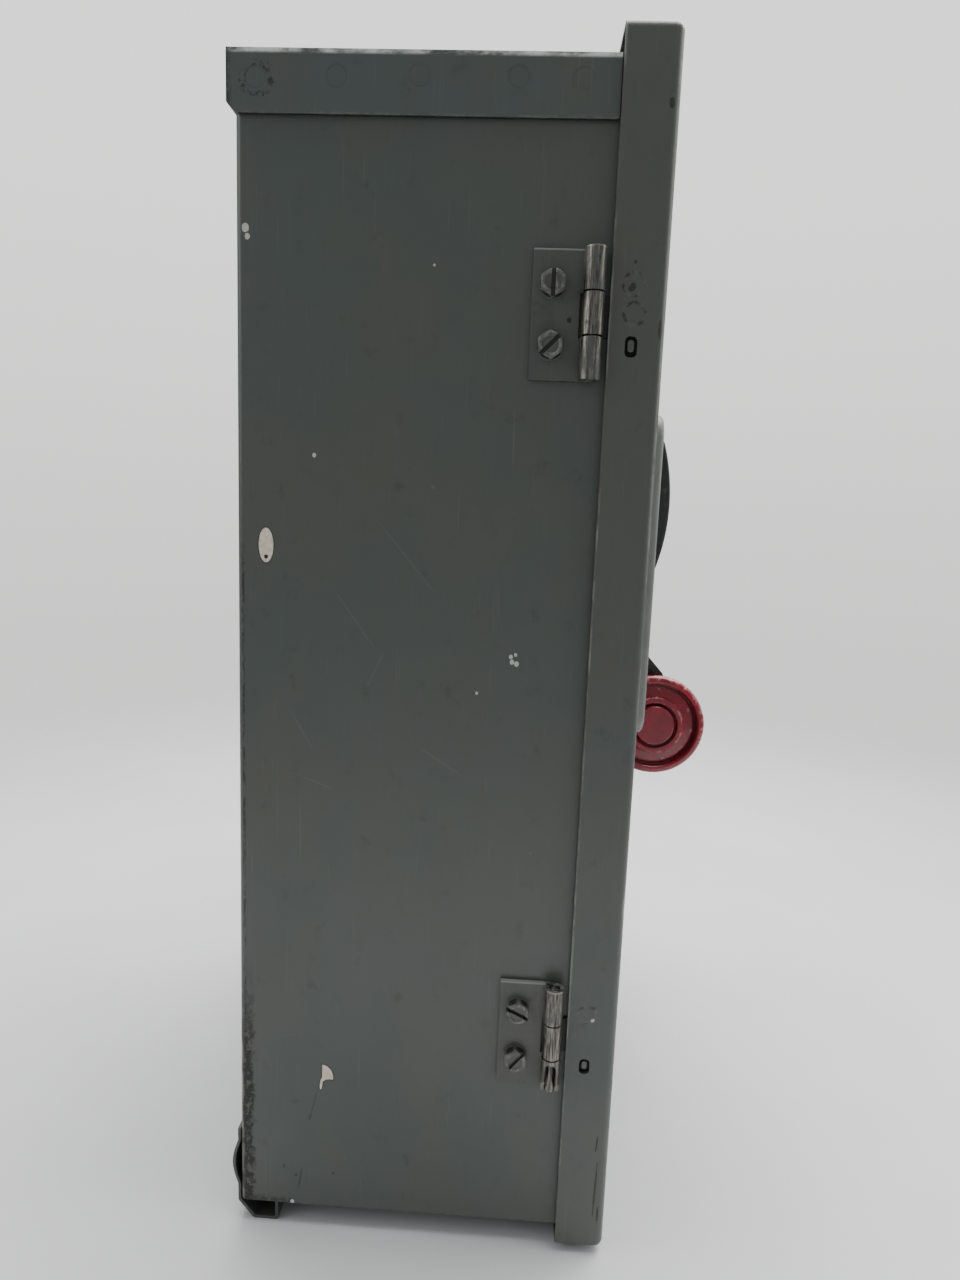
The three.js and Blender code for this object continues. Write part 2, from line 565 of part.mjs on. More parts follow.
// Hook latch on the right side ---------------------------------------------------------
function latchHook() {
  const { x, y, z, reach, thick, stud } = LATCH;
  const outline = polygon([
    [y - 5, z + 4], [y - 5, z - reach - 3], [y - 2, z - reach - 7], [y + 4, z - reach - 7],
    [y + 6, z - reach], [y + 5, z + 4], [y + 2, z + 6], [y - 2, z + 6],
  ]);
  const notch = block(x - 5, x + 10, y - 8, y + stud + 0.5, z - reach - stud - 0.5, z - reach + stud + 0.5);
  return cut(prism(outline, 'x', x, x + thick), notch,
    rod('x', stud + GAP, x - 5, x + 10, y, z, 20));
}

const hookStud = joined(
  rod('x', LATCH.stud, BOX.width - 4, LATCH.x + LATCH.thick + 1, LATCH.y, LATCH.z, 20),
  rod('x', LATCH.stud + 1.5, LATCH.x + LATCH.thick + GAP, LATCH.x + LATCH.thick + 2.5, LATCH.y, LATCH.z, 20));
add(enclosure, 'latch_pivot_stud', hookStud, zincSteel);
add(latch, 'latch_hook', latchHook(), zincSteel);

// The origin goes to the centre of the bottom of the whole assembly ----------------------
const assembly = new THREE.Group();
assembly.add(enclosure, door, handle, rotor, latch);
assembly.updateMatrixWorld(true);
const bounds = new THREE.Box3().setFromObject(assembly, true);
const middle = bounds.getCenter(new THREE.Vector3());
assembly.position.set(-middle.x, -middle.y, -bounds.min.z);

export default assembly;
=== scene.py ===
import math
import random

import bmesh
import bpy
from mathutils import Matrix, Vector


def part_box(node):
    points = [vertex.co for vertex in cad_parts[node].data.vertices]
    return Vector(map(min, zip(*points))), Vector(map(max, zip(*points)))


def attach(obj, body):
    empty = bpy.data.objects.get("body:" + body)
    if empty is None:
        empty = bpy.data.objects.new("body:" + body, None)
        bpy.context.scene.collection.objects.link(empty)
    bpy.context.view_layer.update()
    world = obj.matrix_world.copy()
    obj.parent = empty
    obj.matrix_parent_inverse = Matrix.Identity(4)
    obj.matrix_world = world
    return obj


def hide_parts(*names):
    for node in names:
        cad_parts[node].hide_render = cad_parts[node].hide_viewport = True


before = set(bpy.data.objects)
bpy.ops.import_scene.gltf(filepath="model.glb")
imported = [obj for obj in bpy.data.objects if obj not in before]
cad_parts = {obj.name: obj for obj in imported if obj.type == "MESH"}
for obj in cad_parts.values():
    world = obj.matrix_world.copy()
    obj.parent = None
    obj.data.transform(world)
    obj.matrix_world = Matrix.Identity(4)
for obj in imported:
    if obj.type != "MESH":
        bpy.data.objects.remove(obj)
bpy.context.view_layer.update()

MM = 0.001
SAME_POINT = 2e-6
rng = random.Random(7)

# Places are written in millimetres from the box's left side, the door's front face and the
# door's lower edge; at() turns them into the frame's metres.
WRAPPER_LOW, WRAPPER_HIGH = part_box("enclosure_wrapper")
DOOR_LOW, DOOR_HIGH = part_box("door_shell")
DOOR_FACE_GAP = 3
ORIGIN = Vector((WRAPPER_LOW.x, WRAPPER_LOW.y - DOOR_FACE_GAP * MM, DOOR_LOW.z))


def at(x, y, z):
    return ORIGIN + Vector((x, y, z)) * MM


def place(node):
    """A CAD node's box in those millimetres: (low, high)."""
    low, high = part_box(node)
    return (low - ORIGIN) / MM, (high - ORIGIN) / MM


def middle_of(node):
    low, high = place(node)
    return (low.x + high.x) / 2, (low.y + high.y) / 2, (low.z + high.z) / 2


SHEET = 1.5
WIDTH = (WRAPPER_HIGH.x - WRAPPER_LOW.x) / MM
REAR = (WRAPPER_HIGH.y - ORIGIN.y) / MM
BOX_BOTTOM = (WRAPPER_LOW.z - ORIGIN.z) / MM
BOX_TOP = (WRAPPER_HIGH.z - ORIGIN.z) / MM
DOOR_HEIGHT = (DOOR_HIGH.z - ORIGIN.z) / MM
DOOR_LEFT = (DOOR_LOW.x - ORIGIN.x) / MM
DOOR_RIGHT = (DOOR_HIGH.x - ORIGIN.x) / MM
DOOR_DEPTH = (DOOR_HIGH.y - ORIGIN.y) / MM


# ---------------- outlines
def arc(cx, cy, radius, start, end, steps):
    """Points on an arc, angles in degrees."""
    angles = [math.radians(start + (end - start) * i / steps) for i in range(steps + 1)]
    return [(cx + radius * math.cos(a), cy + radius * math.sin(a)) for a in angles]


def fillet(points, radii, steps=5):
    """The closed outline with each corner rounded; radii is one number or one for each corner."""
    if not hasattr(radii, "__len__"):
        radii = [radii] * len(points)
    out = []
    for i, (corner, radius) in enumerate(zip(points, radii)):
        here = Vector(corner)
        before = (Vector(points[i - 1]) - here).normalized()
        after = (Vector(points[(i + 1) % len(points)]) - here).normalized()
        if radius <= 0:
            out.append(tuple(here))
            continue
        half = before.angle(after) / 2
        reach = radius / math.tan(half)
        centre = here + (before + after).normalized() * radius / math.sin(half)
        start = here + before * reach - centre
        end = here + after * reach - centre
        turn = start.angle_signed(end)
        for k in range(steps + 1):
            out.append(tuple(centre + Matrix.Rotation(-turn * k / steps, 2) @ start))
    return out


# ---------------- meshes
def mesh_object(name, bm):
    bmesh.ops.recalc_face_normals(bm, faces=bm.faces)
    mesh = bpy.data.meshes.new(name)
    bm.to_mesh(mesh)
    bm.free()
    obj = bpy.data.objects.new(name, mesh)
    bpy.context.scene.collection.objects.link(obj)
    return obj


def prism(name, outline, axis, low, high):
    """An outline in the (y,z), (x,z) or (x,y) plane, in millimetres, swept from low to high."""
    bm = bmesh.new()
    put = {
        "x": lambda a, b, c: at(c, a, b),
        "y": lambda a, b, c: at(a, c, b),
        "z": lambda a, b, c: at(a, b, c),
    }[axis]
    rings = [[bm.verts.new(put(a, b, level)) for a, b in outline] for level in (low, high)]
    count = len(outline)
    bm.faces.new(rings[0][::-1])
    bm.faces.new(rings[1])
    for i in range(count):
        j = (i + 1) % count
        bm.faces.new((rings[0][i], rings[0][j], rings[1][j], rings[1][i]))
    return mesh_object(name, bm)


def slab(name, x0, x1, y0, y1, z0, z1):
    return prism(name, [(x0, y0), (x1, y0), (x1, y1), (x0, y1)], "z", z0, z1)


def rod(name, axis, radius, low, high, a, b, steps=48):
    return prism(name, arc(a, b, radius, 0, 360 - 360 / steps, steps - 1), axis, low, high)


def turned(name, profile, axis, centre, steps=96):
    """Turns [radius, distance along the axis] points, in millimetres, about an axis through centre."""
    bm = bmesh.new()
    ways = {"x": (1, 2, 0), "y": (2, 0, 1), "z": (0, 1, 2)}[axis]
    rings = []
    for radius, along in profile:
        ring = []
        for k in range(steps if radius > 1e-6 else 1):
            angle = 2 * math.pi * k / steps
            point = list(centre)
            point[ways[0]] += radius * math.cos(angle)
            point[ways[1]] += radius * math.sin(angle)
            point[ways[2]] += along
            ring.append(bm.verts.new(at(*point)))
        rings.append(ring)
    for ring, after in zip(rings, rings[1:]):
        for k in range(steps):
            a, b = ring[k % len(ring)], ring[(k + 1) % len(ring)]
            c, d = after[(k + 1) % len(after)], after[k % len(after)]
            corners = list(dict.fromkeys((a, b, c, d)))
            if len(corners) > 2:
                bm.faces.new(corners)
    return mesh_object(name, bm)


def bake_modifiers(obj):
    graph = bpy.context.evaluated_depsgraph_get()
    graph.update()
    mesh = bpy.data.meshes.new_from_object(obj.evaluated_get(graph))
    old = obj.data
    obj.modifiers.clear()
    obj.data = mesh
    bpy.data.meshes.remove(old)
    return obj


def boolean(obj, other, operation):
    change = obj.modifiers.new("boolean", "BOOLEAN")
    change.operation = operation
    change.solver = "EXACT"
    change.object = other
    bake_modifiers(obj)
    bpy.data.objects.remove(other, do_unlink=True)
    return obj


def cut(obj, *tools):
    for tool in tools:
        boolean(obj, tool, "DIFFERENCE")
    return obj


def join(obj, *others):
    for other in others:
        boolean(obj, other, "UNION")
    return obj


def gather(name, *parts):
    """Several loose parts as one piece, without a boolean."""
    bm = bmesh.new()
    for part in parts:
        bm.from_mesh(part.data)
    result = mesh_object(name, bm)
    for part in parts:
        bpy.data.objects.remove(part, do_unlink=True)
    return result


def soften(obj, width, segments=3, angle=32, smooth=40):
    """Rounds the edges and shades the flat faces flat."""
    bm = bmesh.new()
    bm.from_mesh(obj.data)
    bmesh.ops.remove_doubles(bm, verts=bm.verts, dist=SAME_POINT)
    bmesh.ops.dissolve_limit(bm, angle_limit=math.radians(0.6), verts=bm.verts, edges=bm.edges)
    bm.to_mesh(obj.data)
    bm.free()
    if width > 0:
        bevel = obj.modifiers.new("edges", "BEVEL")
        bevel.width = width * MM
        bevel.segments = segments
        bevel.limit_method = "ANGLE"
        bevel.angle_limit = math.radians(angle)
        bevel.harden_normals = False
        bake_modifiers(obj)
    obj.data.shade_smooth()
    obj.data.set_sharp_from_angle(angle=math.radians(smooth))
    normals = obj.modifiers.new("normals", "WEIGHTED_NORMAL")
    normals.keep_sharp = True
    return bake_modifiers(obj)


def show(obj, name, body, finish, *nodes):
    """Names a piece, gives it its finish and puts it on its body in place of its CAD nodes."""
    slot, material = finish
    obj.name = name
    obj.data.name = name
    obj.data.materials.clear()
    obj.data.materials.append(material)
    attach(obj, body)
    if nodes:
        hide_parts(*nodes)
    return obj


# ---------------- materials
def linear(r, g, b):
    """A colour given as 8-bit sRGB values, for a shader."""
    return tuple((v / 255 / 12.92 if v <= 10 else ((v / 255 + 0.055) / 1.055) ** 2.4) for v in (r, g, b))


class Shader:
    """A small builder for procedural materials.

    A field is a socket or a number, a mask is a field from 0 to 1, and a colour is a socket or
    three 8-bit sRGB values. Places and sizes are in millimetres.
    """

    def __init__(self, name, roughness=0.5, metallic=0.0, **constants):
        self.material = bpy.data.materials.new(name)
        self.material.use_nodes = True
        self.tree = self.material.node_tree
        self.surface = self.tree.nodes["Principled BSDF"]
        self.surface.inputs["Roughness"].default_value = roughness
        self.surface.inputs["Metallic"].default_value = metallic
        for socket, value in constants.items():
            self.surface.inputs[socket.replace("_", " ")].default_value = value
        self.place = self.scaled(self.node("TexCoord").outputs["Object"], (1 / MM,) * 3, -ORIGIN / MM)
        self.x, self.y, self.z = self.node("SeparateXYZ", Vector=self.place).outputs

    def link(self, value, socket):
        if isinstance(value, bpy.types.NodeSocket):
            self.tree.links.new(value, socket)
        else:
            socket.default_value = value

    def node(self, kind, **inputs):
        """A new node with the inputs given by name, an underscore standing for a space."""
        node = self.tree.nodes.new("ShaderNode" + kind)
        for name, value in inputs.items():
            self.link(value, node.inputs[name.replace("_", " ")])
        return node

    def calculate(self, kind, operation, *values):
        node = self.node(kind)
        node.operation = operation
        for value, socket in zip(values, node.inputs):
            self.link(value, socket)
        return node.outputs[0]

    def scaled(self, vector, scale, shift):
        return self.calculate("VectorMath", "MULTIPLY_ADD", vector, scale, shift)

    def math(self, operation, a, b=0.0):
        return self.calculate("Math", operation, a, b)

    def add(self, a, b):
        return self.math("ADD", a, b)

    def minus(self, a, b):
        return self.math("SUBTRACT", a, b)

    def times(self, first, *others):
        for other in others:
            first = self.math("MULTIPLY", first, other)
        return first

    def either(self, first, *others):
        for other in others:
            first = self.math("MAXIMUM", first, other)
        return first

    def between(self, value, low, high):
        """0 below low, 1 above high, smooth between; low may be above high."""
        flip = low > high
        node = self.node("MapRange", Value=value, From_Min=min(low, high), From_Max=max(low, high),
                         To_Min=float(flip), To_Max=float(not flip))
        node.interpolation_type = "SMOOTHSTEP"
        return node.outputs["Result"]

    def band(self, value, low, full, still_full, high):
        """1 from full to still_full, 0 below low and above high."""
        return self.times(self.between(value, low, full), self.between(value, high, still_full))

    def noise(self, size, detail=3.0, roughness=0.55, stretch=(1, 1, 1), shift=0.0, distortion=0.0):
        """Noise whose lumps are about size millimetres, stretched along the axes."""
        scale = [1 / (size * s) for s in stretch]
        place = self.scaled(self.place, scale, (shift, shift * 1.7, shift * 0.6))
        return self.node("TexNoise", Vector=place, Scale=1.0, Detail=detail, Roughness=roughness,
                         Distortion=distortion).outputs["Fac"]

    def ragged(self, amount, *noise, **options):
        """Noise about 0, amount from its lowest to its highest."""
        return self.times(self.minus(self.noise(*noise, **options), 0.5), amount)

    def patches(self, low, high, *noise, **options):
        """Ragged patches: 0 where the noise is under low, 1 where it is over high."""
        return self.between(self.noise(*noise, **options), low, high)

    def spots(self, size, radius, shift):
        """Round spots scattered about size millimetres apart; radius is a share of that."""
        place = self.scaled(self.place, (1 / size,) * 3, (shift,) * 3)
        cells = self.node("TexVoronoi", Vector=place, Scale=1.0)
        return self.between(cells.outputs["Distance"], radius, radius * 0.6)

    def squared(self, y, z):
        """The square of the distance from a line along x."""
        dy, dz = self.minus(self.y, y), self.minus(self.z, z)
        return self.add(self.times(dy, dy), self.times(dz, dz))

    def away(self, y, z):
        return self.math("SQRT", self.squared(y, z))

    def blob(self, y, z, half_y, half_z, turn=0.0, rough=0.35, size=3.0):
        """A ragged oval mark at a place on a side, with half sizes and a turn in degrees."""
        dy, dz = self.minus(self.y, y), self.minus(self.z, z)
        c, s = math.cos(math.radians(turn)), math.sin(math.radians(turn))
        along = self.times(self.add(self.times(dy, c), self.times(dz, s)), 1 / half_y)
        across = self.times(self.add(self.times(dy, -s), self.times(dz, c)), 1 / half_z)
        inside = self.add(self.times(along, along), self.times(across, across))
        return self.between(self.add(inside, self.ragged(rough * 2, size, 4)), 1.08, 0.92)

    def blobs(self, *rows):
        """Several blobs as one mask; a row holds what blob() takes, in its order."""
        return self.either(*(self.blob(*row) for row in rows))

    def near(self, value, *levels, reach=2.5):
        """1 where value is at one of the levels, fading out over reach millimetres, raggedly."""
        value = self.add(value, self.ragged(reach, 4, 5, 0.7, shift=21))
        gaps = [self.math("ABSOLUTE", self.minus(value, level)) for level in levels]
        return self.either(*(self.between(gap, reach, reach * 0.5) for gap in gaps))

    def mix(self, factor, a, b):
        node = self.node("Mix", Factor=factor)
        node.data_type = "RGBA"
        for value, socket in ((a, node.inputs[6]), (b, node.inputs[7])):
            is_socket = isinstance(value, bpy.types.NodeSocket)
            self.link(value if is_socket else (*linear(*value), 1.0), socket)
        return node.outputs[2]

    def stain(self, color, tone, *masks):
        """The colour, going over to tone by the product of the masks."""
        return self.mix(self.times(*masks), color, tone)

    def blend(self, factor, a, b):
        """A number that goes from a to b as factor goes from 0 to 1."""
        return self.add(self.times(self.minus(1.0, factor), a), self.times(factor, b))

    def bump(self, height, depth, before=None):
        """Raises the surface by height (0 to 1) times depth millimetres."""
        node = self.node("Bump", Distance=depth * MM, Height=height)
        if before is not None:
            self.link(before, node.inputs["Normal"])
        return node.outputs["Normal"]

    def use(self, color, roughness, normal, metallic=None):
        for socket, value in (("Base Color", color), ("Roughness", roughness), ("Normal", normal),
                              ("Metallic", metallic)):
            if value is not None:
                self.link(value, self.surface.inputs[socket])
        return self.material


GREY = (74, 78, 73)
GREY_COOL = (68, 76, 73)
GREY_WARM = (79, 77, 67)
GREY_DOOR = (76, 78, 72)
BARE = (150, 148, 142)
PALE_CHIP = (196, 194, 184)
SOOT = (26, 25, 23)
DIRT = (34, 33, 30)


def enamel(name, tint=GREY, dirt_amount=0.35, marks=None, seed=0.0):
    """Aged grey enamel: mottled colour, fine orange peel, rubbed streaks, specks and local marks."""
    s = Shader(name, roughness=0.42, Coat_Weight=0.12, Coat_Roughness=0.3)
    clouds = s.patches(0.35, 0.68, 70, 4, shift=seed)
    color = s.stain(tint, GREY_COOL, clouds, 0.75)
    warm = s.patches(0.45, 0.72, 28, 3, stretch=(1, 1, 1.8), shift=seed + 9)
    color = s.stain(color, GREY_WARM, warm, 0.5)
    grime = s.times(s.patches(0.56, 0.78, 9, 6, 0.7, shift=seed + 4), dirt_amount)
    color = s.stain(color, DIRT, grime)
    streaks = s.patches(0.6, 0.74, 3.0, 5, 0.62, stretch=(1, 0.35, 14), shift=seed + 2)
    color = s.stain(color, (120, 126, 120), streaks, 0.10)
    hair = s.patches(0.7, 0.76, 1.1, 2, 0.5, stretch=(1, 0.5, 40), shift=seed + 7, distortion=0.6)
    color = s.stain(color, (128, 132, 126), hair, 0.2)
    specks = s.times(s.spots(23, 0.035, seed), s.patches(0.5, 0.6, 40, 2, shift=seed + 5))
    color = s.stain(color, (128, 128, 118), specks, 0.5)
    peel = s.noise(1.7, 2, 0.4)
    fine = s.noise(0.35, 2, 0.5)
    rough = s.add(s.blend(clouds, 0.36, 0.47), s.times(grime, 0.3))
    rough = s.add(rough, s.times(s.minus(fine, 0.5), 0.12))
    normal = s.bump(s.add(s.times(peel, 0.7), s.times(fine, 0.2)), 0.05)
    if marks is None:
        return s.use(color, rough, normal, 0.0)
    return s.use(*marks(s, color, rough, normal))


# ---------------- shared places
WELD_RADIUS = 3.55
CAP_WELDS = [(124.3, 381.8), (100.2, 382.4), (75.8, 383.0), (46.9, 382.9), (28.1, 382.7)]
SKIRT_WELDS = [(10.2, 326.3), (9.6, 317.8), (10.5, 90.3)]
SKIRT_SLOTS = {"upper": (10, 308.4, 3.7, 6.2), "lower": (10.4, 71, 3.6, 5.6)}
CAP_FLANGE, CAP_CLEARANCE = 1.5, 0.3
HINGES = {"upper": 317.15, "lower": 81.05}
HINGE_X, HINGE_Y = -4, 22
LATCH_Y, LATCH_Z = 45, 250
SCREW_Y, SCREW_SPREAD, SCREW_HOLE = 34.1, 8.9, 2.3
SCREW_PLACES = [(SCREW_Y, centre + side * SCREW_SPREAD) for centre in HINGES.values() for side in (-1, 1)]


# ---------------- local marks
# Each marks function takes a paint's colour, roughness and normal, and gives them back with its
# marks added, and how metallic the surface is. On the sides a mark's place is its y and z.
SIDE_SPECKS = (
    (41.8, 211.9, 0.6), (40.3, 212.6, 0.5), (41.4, 210.2, 0.7), (39.9, 209.6, 0.75), (106.5, 273.4, 0.6),
    (52.4, 199.4, 0.45), (128.2, 340.4, 1.1), (127.6, 337.9, 0.8), (70.2, 331.0, 0.35))
OVAL_CHIP = (121.9, 244.6, 2.4, 5.5)
SIDE_LINES = (
    (104.7, 47.6, 0.2, 6.4, 12.8, 0.5, 1.5), (106.1, 41.9, 0.42, 1.7, 12.8, 0.9, 1),
    (109.6, 16.5, 0.3, 4.6, 9, 0.8, 1), (115.4, 21.5, 0.5, 0.8, 0, 0.6, 1),
    (111.0, 18.2, 0.6, 0.6, 0, 0.6, 1), (97.5, 19.8, 0.5, 0.7, 0, 0.6, 1))
FAINT_LINES = (
    (93, 222, 0.2, 11, -36, 0.6, 2), (76, 242, 0.18, 14, -40, 0.6, 2), (110, 184, 0.22, 8, -30, 0.6, 2),
    (86, 205, 0.2, 7, 24, 0.6, 2), (64, 176, 0.18, 9, -58, 0.6, 2), (104, 166, 0.25, 6, -70, 0.6, 2))
SKIRT_SCRATCHES = (
    (10.2, 332.6, 0.45, 0.6, 0, 0.5, 1), (10.6, 325.4, 1.0, 1.4, 30, 0.9, 1),
    (4.0, 24.0, 0.35, 10.0, 1.5, 0.9, 1.6), (2.6, 14.0, 0.4, 3.0, 0, 0.9, 1),
    (1.5, 313.5, 0.7, 3.0, 0, 0.9, 2), (2.6, 376.0, 0.8, 1.6, 0, 0.9, 1),
    (4.4, 42.0, 0.3, 3.2, 4, 0.8, 1))


def flag_chip(s, grow):
    """A chip shaped like a small flag on a short pole, grown by some millimetres."""
    field = s.blob(101.9, 57.9, 3.9 + grow, 4.7 + grow, rough=0.12, size=2)
    bite = s.blob(98.9, 53.25, 3.95 - grow, 3.95 - grow, rough=0.05)
    field = s.times(field, s.between(s.y, 102.0 + grow, 101.8 + grow), s.minus(1.0, bite))
    return s.either(field, s.blob(102.2, 55.2, 0.45 + grow, 2.3 + grow, 6, rough=0.1))


def side_marks(s, color, rough, normal):
    """Chips, scratches and the worn, rusty rear edge of the enclosure's sides."""
    left = s.between(s.x, 1.2, 0.6)
    corner = s.near(s.x, 0, WIDTH, reach=4)
    bottom = s.between(s.z, 105, 60)
    ragged = s.ragged(9, 5, 6, 0.7)
    wear = s.times(s.between(s.add(s.y, ragged), REAR - 5.6, REAR - 4.2), bottom, corner)
    foot = s.times(s.between(s.add(s.z, ragged), 9.8, 7.4), s.between(s.y, 108, 118))
    foot = s.times(foot, s.either(corner, s.times(s.near(s.z, BOX_BOTTOM, reach=2), 0.6)))
    wear = s.either(wear, s.times(foot, 0.7))
    blotch = s.patches(0.44, 0.5, 2.4, 6, 0.75, stretch=(1, 1, 1.4), shift=3)
    color = s.stain(color, s.mix(blotch, (78, 76, 70), (9, 8, 7)), wear, 0.95)
    line = s.times(s.band(s.y, REAR - 2.6, REAR - 2.2, REAR - 1.7, REAR - 1.3), corner,
                   s.between(s.z, 262, 225))
    broken = s.patches(0.46, 0.54, 1.6, 5, 0.8, stretch=(1, 1, 3), shift=5)
    color = s.stain(color, (22, 20, 18), line, broken, 0.85)
    rubbed = s.times(s.patches(0.42, 0.56, 4, 5, 0.7, stretch=(1, 1, 3), shift=2),
                     s.between(s.y, REAR - 1.3, REAR - 0.7), s.near(s.x, 0, WIDTH, reach=2))
    color = s.stain(color, BARE, rubbed, bottom, 0.7)
    color = s.stain(color, (196, 192, 180), s.blob(112.4, 7.2, 0.7, 0.9, rough=0.4, size=1), left)

    y, z, half_y, half_z = OVAL_CHIP
    rim = s.either(s.blob(y, z, half_y + 0.35, half_z + 0.35, rough=0.12), flag_chip(s, 0.42))
    color = s.stain(color, (34, 28, 22), rim, left, 0.85)
    chips = s.times(s.either(s.blob(*OVAL_CHIP, rough=0.12), flag_chip(s, 0)), left)
    primer = s.mix(s.patches(0.3, 0.7, 1.6, 4, 0.6, shift=1), (226, 218, 200), (202, 188, 166))
    color = s.stain(color, primer, chips)
    color = s.stain(color, (26, 20, 15), s.blob(y, z - 3.7, 0.65, 0.7, rough=0.3, size=1), left)
    specks = s.blobs(*((y, z, r, r * 1.2, 0, 0.5, 1) for y, z, r in SIDE_SPECKS))
    color = s.stain(color, PALE_CHIP, specks, left, 0.85)
    color = s.stain(color, (38, 40, 39), s.blobs(*SIDE_LINES), left, 0.7)
    color = s.stain(color, (112, 115, 110), s.blobs(*FAINT_LINES), left, 0.22)
    rough = s.blend(s.either(chips, s.times(wear, 0.7)), rough, 0.68)
    sunk = s.either(chips, s.times(wear, blotch, 0.6))
    return color, rough, s.bump(s.minus(1.0, sunk), 0.12, normal), 0.0


def cap_marks(s, color, rough, normal):
    """Pale lines along the folds, partly rubbed paint and partly painted highlight, and the dirt round
    the first weld of the cap.
    """
    sides = (-CAP_FLANGE, WIDTH + CAP_FLANGE)
    rims = s.either(s.near(s.x, *sides, reach=1.6), s.near(s.y, REAR + 2, reach=1.6))
    # a near-white line along the rounded top folds: partly rubbed paint, partly painted highlight
    rub_and_highlight = s.times(s.between(s.z, BOX_TOP + 0.1, BOX_TOP + 1.2), rims,
                  s.patches(0.35, 0.6, 7, 5, 0.7, stretch=(1, 2.5, 1)))
    color = s.stain(color, (226, 228, 222), rub_and_highlight, 0.9)
    lower = s.times(s.between(s.z, 373.0, 372.3), s.patches(0.45, 0.6, 5, 5, 0.7, shift=4))
    color = s.stain(color, (120, 120, 113), lower, 0.3)
    y, z = 124.3, 381.6
    ring = s.minus(s.blob(y, z, 5.4, 5.4, rough=0.8, size=3), s.blob(y, z, 3.3, 3.3, rough=0.3))
    dirt = s.times(ring, s.patches(0.5, 0.58, 1.8, 5, 0.8))
    corner = s.times(s.between(s.add(s.y, s.times(s.noise(3, 4), 3)), 132.8, 134.8),
                     s.patches(0.4, 0.55, 3, 5, 0.7), s.near(s.x, *sides))
    color = s.stain(color, SOOT, s.either(s.times(dirt, 0.8), s.times(corner, 0.6)))
    return color, rough, normal, 0.0


def door_marks(s, color, rough, normal):
    """Rubbed front edges, dirty weld rings, dark scratches, a pale painted reflection on the panel's
    shoulder and painted shade along the door's bottom edge.
    """
    left = s.between(s.x, -2.4, -2.9)
    rims = s.either(s.near(s.x, DOOR_LEFT, DOOR_RIGHT, reach=3.2), s.near(s.z, 0, DOOR_HEIGHT, reach=3.2))
    edge = s.times(s.between(s.add(s.y, s.times(s.noise(4, 5, 0.7), 1.6)), 1.9, 1.0), rims)
    bright = s.times(edge, s.patches(0.5, 0.66, 12, 5, 0.7, stretch=(1, 1, 3)))
    color = s.stain(color, (168, 168, 160), bright, 0.5)
    dark = s.times(edge, s.patches(0.56, 0.66, 7, 5, 0.75, stretch=(1, 1, 2), shift=3))
    color = s.stain(color, (36, 33, 30), dark, 0.75)
    rings = s.either(*(s.band(s.away(y, z), 2.5, 2.9, 3.5, 3.9) for y, z in SKIRT_WELDS))
    color = s.stain(color, SOOT, rings, s.patches(0.5, 0.58, 2.6, 5, 0.7, shift=6), left, 0.85)
    color = s.stain(color, (120, 122, 116), rings, s.patches(0.4, 0.6, 3, 4, shift=2), left, 0.2)
    # painted reflection: the panel's near shoulder is made pale where it would mirror the bright
    # surroundings
    shoulder = s.times(s.band(s.y, -4.9, -4.4, -1.2, -0.5), s.between(s.x, 17.5, 15.5))
    broken = s.blend(s.noise(5, 5, 0.7, stretch=(1, 1, 4)), 0.35, 0.95)
    color = s.stain(color, (140, 142, 136), shoulder, broken)
    scratches = s.blobs(*SKIRT_SCRATCHES)
    color = s.stain(color, (30, 28, 26), scratches, left, 0.85)
    rubbed = s.patches(0.42, 0.6, 6, 5, 0.7, stretch=(1, 1, 3), shift=8)
    color = s.stain(color, (150, 150, 142), s.between(s.y, 16.2, 16.8), rubbed, 0.45)
    # painted shade: the door's lowest few millimetres are darkened where it meets the floor
    foot = s.times(s.between(s.add(s.z, s.times(s.noise(4, 5), 3)), 5.0, 2.0), s.noise(3, 4))
    color = s.stain(color, (48, 45, 40), foot, 0.9)
    return color, s.blend(s.either(dark, scratches), rough, 0.6), normal, 0.0


def streaky_metal(s, dark, light):
    streak = s.noise(1.1, 5, 0.65, stretch=(0.5, 0.5, 7))
    return streak, s.mix(s.between(streak, 0.35, 0.65), dark, light)


def hinge_marks(s, color, rough, normal):
    """The rolled ends are worn to streaky bare metal; the leaf keeps its paint."""
    rolled = s.between(s.add(s.y, s.noise(2.5, 5, 0.7)), HINGE_Y + 4.0, HINGE_Y + 3.5)
    left_over = s.patches(0.5, 0.56, 2.6, 5, 0.7, stretch=(1, 1, 1.6), shift=3)
    bare = s.times(rolled, s.minus(1.0, s.times(left_over, 0.85)))
    color = s.stain(color, streaky_metal(s, (62, 60, 55), (134, 131, 123))[1], bare)
    for centre in HINGES.values():
        top = s.band(s.z, centre + 18.3, centre + 18.8, centre + 19.3, centre + 19.5)
        color = s.stain(color, (150, 152, 145), top, 0.6)
    color = s.stain(color, (28, 26, 24), s.blob(28.8, 315.8, 0.7, 0.8, rough=0.4, size=1))
    return color, s.blend(bare, rough, 0.36), normal, s.times(bare, 0.9)


def screw_marks(s, color, rough, normal):
    """Painted shade darkens the slots and sunk middles; the corners are paler, partly rubbed bare and
    partly painted highlight.
    """
    # painted shade: the slots and sunk middles of the heads are darkened where shade falls in them
    middles = s.either(*(s.between(s.squared(y, z), 16.5, 15.0) for y, z in SCREW_PLACES))
    color = s.stain(color, (22, 21, 19), s.between(s.x, -4.75, -4.3), middles, 0.85)
    # the outermost faces of the heads are paler: partly rubbed bare, partly painted highlight
    rub_and_highlight = s.times(s.between(s.x, -4.85, -5.0), s.patches(0.48, 0.58, 1.6, 5, 0.7, shift=4))
    color = s.stain(color, (132, 133, 126), rub_and_highlight, 0.55)
    return color, rough, normal, 0.0


